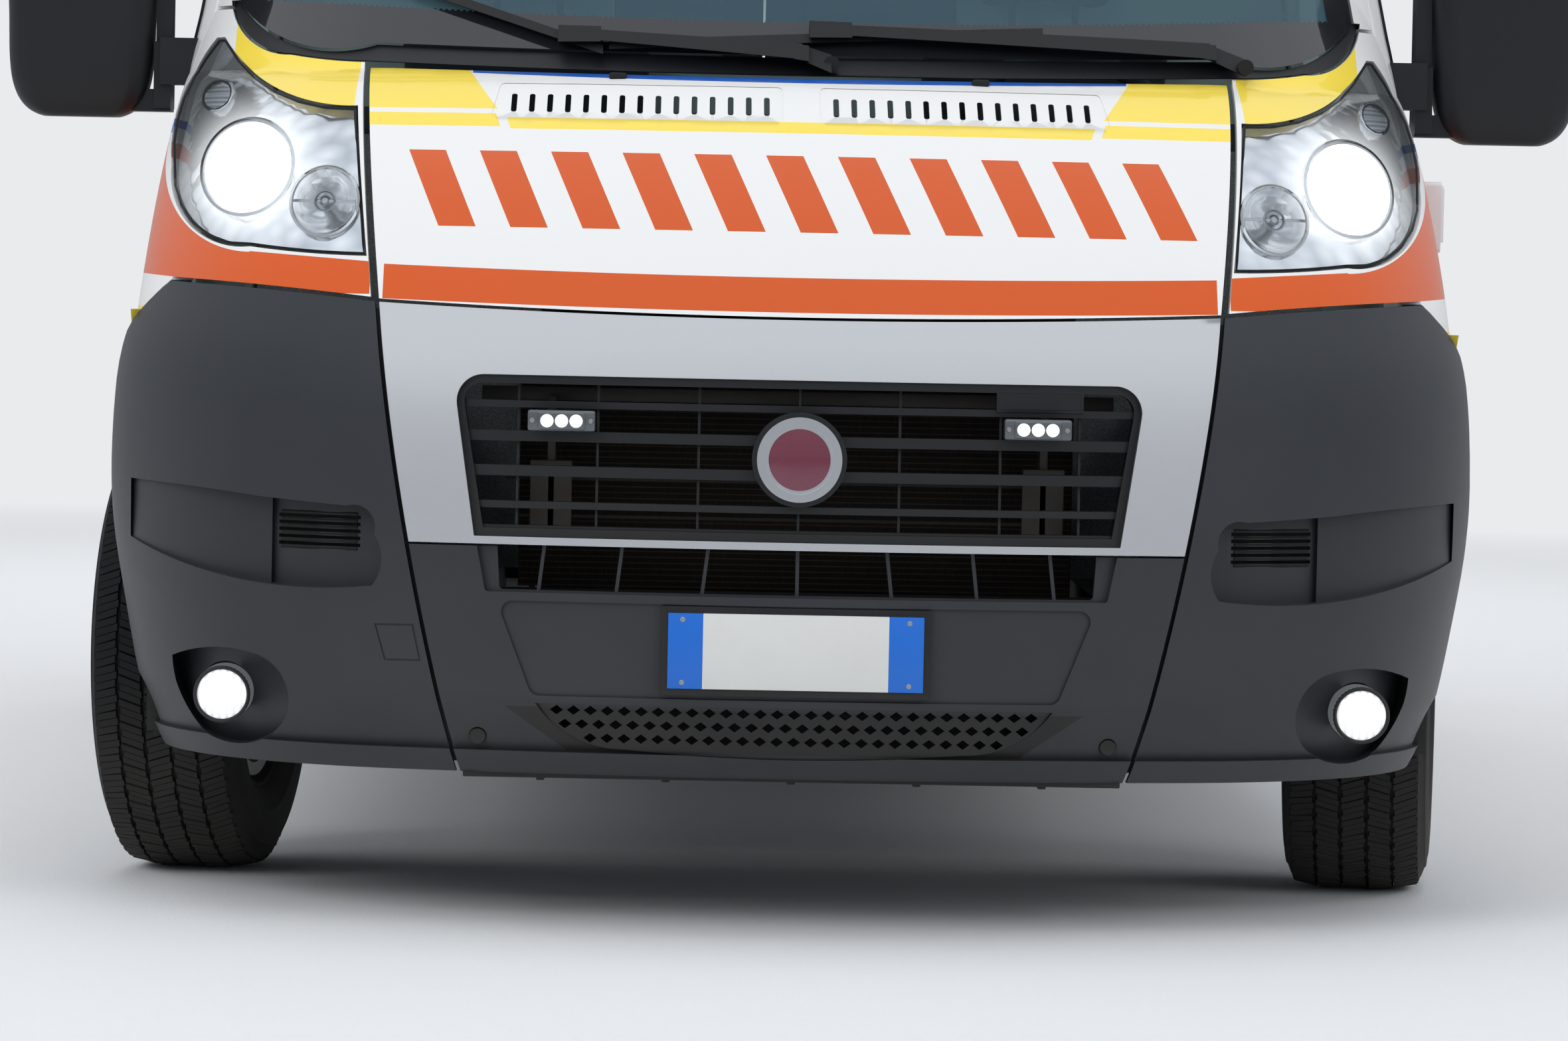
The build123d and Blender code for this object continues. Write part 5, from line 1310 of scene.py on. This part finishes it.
# %% Handle and high lamp of the rear doors
rear_skin = probe("rear_door_l", "rear_door_r", "rear_frame")
rear_face = on_skin(rear_skin, (0.3, 0, 0.8), BEHIND).y
bm = bmesh.new()
HANDLE = [
    # range in x, range behind the skin, range in z, width and segments of the rounding
    (0.03, 0.215, -0.004, 0.008, 0.985, 1.075, 0.006, 3),
    (0.05, 0.195, 0.006, 0.03, 1.035, 1.06, 0.008, 3),
    (0.06, 0.08, 0.002, 0.022, 1.03, 1.062, 0.004, 2),
    (0.165, 0.185, 0.002, 0.022, 1.03, 1.062, 0.004, 2),
]
for x0, x1, y0, y1, z0, z1, width, segments in HANDLE:
    block(bm, (x0, rear_face + y0, z0), (x1, rear_face + y1, z1), width, segments)
LOCK = [(0, -0.002), (0.008, -0.002), (0.01, 0.0), (0.01, 0.006), (0, 0.006)]
ring(bm, (0.122, rear_face + 0.008, 1.006), LOCK, 20, BEHIND)
piece("rear_handle", bm, black_plastic, body="rear_door_left")

top_face = on_skin(rear_skin, (0.0, 0, 2.33), BEHIND).y
bm = bmesh.new()
slab(bm, 0, 0.15, (-0.004, 0.012), (2.318, 2.342), 0.006, 3, back=top_face)
piece("third_brake_light", bm, brake_lens)

# %% Steps and reflectors
bumper_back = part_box("rear_bumper")[1][1]
bm = bmesh.new()
for i in range(19):
    x = -0.378 + 0.042 * i
    slab(bm, x, 0.012, (-0.054, -0.012), (0.4805, 0.4845), 0.0015, back=bumper_back)
piece("step_treads", bm, rough_black)
bm = bmesh.new()
for x in (-0.8, 0.8):
    slab(bm, x, 0.055, (-0.01, -0.001), (0.41, 0.44), 0.004, back=bumper_back)
piece("rear_reflectors", bm, brake_lens)

bm = bmesh.new()
side_skin = probe("box_sides", "side_mouldings", "sliding_door")
for y in (NOSE + 2.75, NOSE + 3.62, NOSE + 4.98):
    spot = on_skin(side_skin, (0.5, y, 0.618), FROM_LEFT)
    block(bm, (spot.x - 0.004, y - 0.032, 0.603), (spot.x + 0.0055, y + 0.032, 0.633), 0.0025)
piece("side_markers", both_sides(bm), amber_lens)

# %% [markdown]
# ## Seats
# A foam cushion under a stretched cover crowns in its middle and pulls in between its
# corners. Cloth simulation gives that shape by itself: a slightly small solid is
# remeshed, blown up from inside by a little pressure, and each point may only move a
# few centimetres. Sewn channels come after it, as grooves pressed along straight lines.


# %% Stuffing by simulation
def baked(holder):
    return bpy.data.meshes.new_from_object(holder.evaluated_get(bpy.context.evaluated_depsgraph_get()))


def blown_up(bm, voxel, pressure, limit):
    """The same shape after its cover has been stretched over foam."""
    mesh = bpy.data.meshes.new("pad")
    bm.to_mesh(mesh)
    bm.free()
    holder = bpy.data.objects.new("pad", mesh)
    scene.collection.objects.link(holder)
    remesh = holder.modifiers.new("remesh", "REMESH")
    remesh.mode = "VOXEL"
    remesh.voxel_size = voxel
    even = baked(holder)
    holder.modifiers.clear()
    holder.data = even
    start = [v.co.copy() for v in even.vertices]
    cloth = holder.modifiers.new("cloth", "CLOTH")
    cloth.settings.use_pressure = True
    cloth.settings.uniform_pressure_force = pressure
    cloth.settings.effector_weights.gravity = 0
    cloth.settings.quality = 4
    cloth.settings.mass = 0.3
    cloth.collision_settings.use_collision = False
    cloth.point_cache.frame_end = 20
    for step in range(1, 21):
        scene.frame_set(step)
    for vertex, was, now in zip(even.vertices, start, baked(holder).vertices):
        move = now.co - was
        if move.length > limit:
            move *= limit / move.length
        vertex.co = was + move
    scene.frame_set(1)
    made = bmesh.new()
    made.from_mesh(even)
    bpy.data.objects.remove(holder)
    return made


def sewn(bm, lines, facing, width=0.01, depth=0.007):
    """Presses grooves into the side that faces one way: each line is an axis and a place."""
    bm.normal_update()
    for axis, place in lines:
        for vert in bm.verts:
            away = abs(vert.co[axis] - place)
            if away < width and vert.normal.dot(facing) > 0.35:
                vert.co -= vert.normal * depth * (0.5 + 0.5 * math.cos(math.pi * away / width))


def cushion(name, bm, finish, lines, facing, moves, slot, fill, *replaced):
    """Sews one stuffed shape and sets a copy of it at each of the moves."""
    sewn(bm, lines, facing)
    bmesh.ops.smooth_vert(bm, verts=bm.verts, factor=0.4, use_axis_x=True, use_axis_y=True, use_axis_z=True)
    for tag, move in moves:
        copy = bm.copy()
        bmesh.ops.translate(copy, verts=copy.verts, vec=move)
        made = piece(name + tag, copy, finish, limit=60)
        smooth = made.modifiers.new("smooth", "SUBSURF")
        smooth.levels = smooth.render_levels = 1
        for node in replaced:
            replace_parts(made, node)
    bm.free()


# %% Seat cushions, backs and headrests
PLACES = [("_l", (0.45, 0, 0)), ("_r", (-0.45, 0, 0))]
bm = bmesh.new()
slab(bm, 0, 0.236, (1.556, 2.000), (0.716, 0.806), 0.03, 4)
cushion("seat_cushion", blown_up(bm, 0.012, 4.0, 0.024), seat_cloth,
        [(0, -0.135), (0, 0.135), (1, NOSE + 1.64), (1, NOSE + 1.8)], UP, PLACES, "seat_fabric", 0.8)

recline = Matrix.Translation((0, NOSE + 2.026, 1.118)) @ Matrix.Rotation(math.radians(-9.6), 4, "X")
bm = bmesh.new()
slab(bm, 0, 0.232, (-0.04, 0.036), (-0.27, 0.27), 0.028, 4, back=0)
back_shape = blown_up(bm, 0.012, 4.0, 0.022)
sewn(back_shape, [(0, -0.13), (0, 0.13), (2, -0.11), (2, 0.08)], BEHIND)
bmesh.ops.transform(back_shape, verts=back_shape.verts, matrix=recline)
cushion("seat_back", back_shape, seat_cloth, [], BEHIND, PLACES, "seat_fabric", 0.8)

bm = bmesh.new()
slab(bm, 0, 0.12, (2.062, 2.112), (1.42, 1.555), 0.022, 4)
cushion("headrest", blown_up(bm, 0.01, 4.0, 0.012), seat_bolster, [(2, 1.487)], BEHIND, PLACES,
        "seat_fabric", 0.9)

# %% Seat frames
bm = bmesh.new()
for middle in (-0.45, 0.45):
    slab(bm, middle, 0.215, (1.605, 1.975), (0.507, 0.7), 0.02, 3)
    slab(bm, middle, 0.235, (1.58, 2.000), (0.688, 0.712), 0.008, 3)
    for edge in (-0.246, 0.246):
        slab(bm, middle + edge, 0.012, (1.86, 2.06), (0.7, 0.85), 0.01, 3)
    for post in (-0.055, 0.055):
        rod = [(middle + post, NOSE + 2.066, 1.345), (middle + post, NOSE + 2.085, 1.45)]
        tube(bm, rod, 0.006, closed=False)
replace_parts(piece("seat_frames", bm, cabin_plastic), "cab_seats")

# %% [markdown]
# ## Stretcher mattress
# The mattress is one long pad of foam in a wipe-clean cover, with flat welded channels
# where the stretcher folds, and three webbing straps laid over it.

# %% Mattress and straps
bm = bmesh.new()
slab(bm, 0, 0.252, (2.94, 4.812), (0.944, 0.999), 0.018, 4)
fold_lines = [(1, NOSE + place) for place in (3.32, 3.76, 4.38)]
cushion("stretcher_mattress", blown_up(bm, 0.016, 2.0, 0.009), pad_vinyl, fold_lines, UP, [("", (0, 0, 0))],
        "stretcher_pad", 0.9, "stretcher_pad")

straps, buckles = bmesh.new(), bmesh.new()
for place in (3.18, 3.94, 4.56):
    slab(straps, 0, 0.268, (-0.024, 0.024), (1.0085, 1.0115), 0.001, back=NOSE + place)
    for side in (-1, 1):
        near, far = sorted((side * 0.2655, side * 0.2685))
        block(straps, (near, NOSE + place - 0.024, 0.93), (far, NOSE + place + 0.024, 1.011), 0.001)
    slab(buckles, 0, 0.03, (-0.029, 0.029), (1.01, 1.02), 0.004, 3, back=NOSE + place)
piece("stretcher_straps", straps, strap_web)
piece("strap_buckles", buckles, black_plastic)

# %% [markdown]
# ## Cab and patient bay
# Inside, the dashboard gets a hooded cluster, a centre panel and round air outlets, and
# the cupboards get their doors. They are seen only through glass or an open door, so a
# few bevelled blocks and rings are enough.

# %% Dashboard fittings
bm = bmesh.new()
block(bm, (0.31, NOSE + 1.255, 1.18), (0.59, NOSE + 1.42, 1.235), 0.018, 4)
slab(bm, 0, 0.13, (1.395, 1.44), (0.83, 1.09), 0.012, 3)
block(bm, (-0.78, NOSE + 1.385, 0.96), (-0.26, NOSE + 1.435, 1.06), 0.012, 3)
piece("dash_panels", bm, cabin_plastic)

OUTLET = [(0.02, 0.004), (0.026, 0.016), (0.034, 0.02), (0.039, 0.014), (0.039, 0.0), (0.02, 0.0),
          (0.02, 0.004)]
bm = bmesh.new()
for x in (-0.74, -0.19, 0.19, 0.74):
    ring(bm, (x, NOSE + 1.372, 1.128), OUTLET, 28, (0, 0.8, 0.6))
for row in range(3):
    for column in range(4):
        x = -0.072 + 0.048 * column
        slab(bm, x, 0.018, (1.438, 1.446), (0.89 + 0.055 * row, 0.925 + 0.055 * row), 0.004)
piece("dash_controls", bm, rough_black)

# %% Cupboard doors and bulkhead seal
bm = bmesh.new()
handles = bmesh.new()
for x, low, high, inset, handle, doors in (
        (0.5155, 0.53, 1.1, 0.06, 1.05, ((3.02, 3.45), (3.46, 3.89))),
        (0.5555, 1.915, 2.235, 0.2, 1.94, ((2.225, 2.775), (2.785, 3.335), (3.345, 3.89)))):
    for start, end in doors:
        block(bm, (x, NOSE + start, low), (x + 0.006, NOSE + end, high), 0.002)
        rod = [(x - 0.0085, NOSE + start + inset + step, handle) for step in (0, 0.14)]
        tube(handles, rod, 0.005, closed=False)
piece("cupboard_doors", bm, printed_white)
piece("cupboard_handles", handles, alloy_tube)

hatch = [(-0.3, 1.3), (0.3, 1.3), (0.3, 1.7), (-0.3, 1.7)]
hatch_path = walked(rounded_path([(x, 1.0, z) for x, z in grown(hatch, 0.004)], 0.04))
seal("hatch_seal", ["bulkhead"], "shell", hatch_path, BEHIND, 0.006)
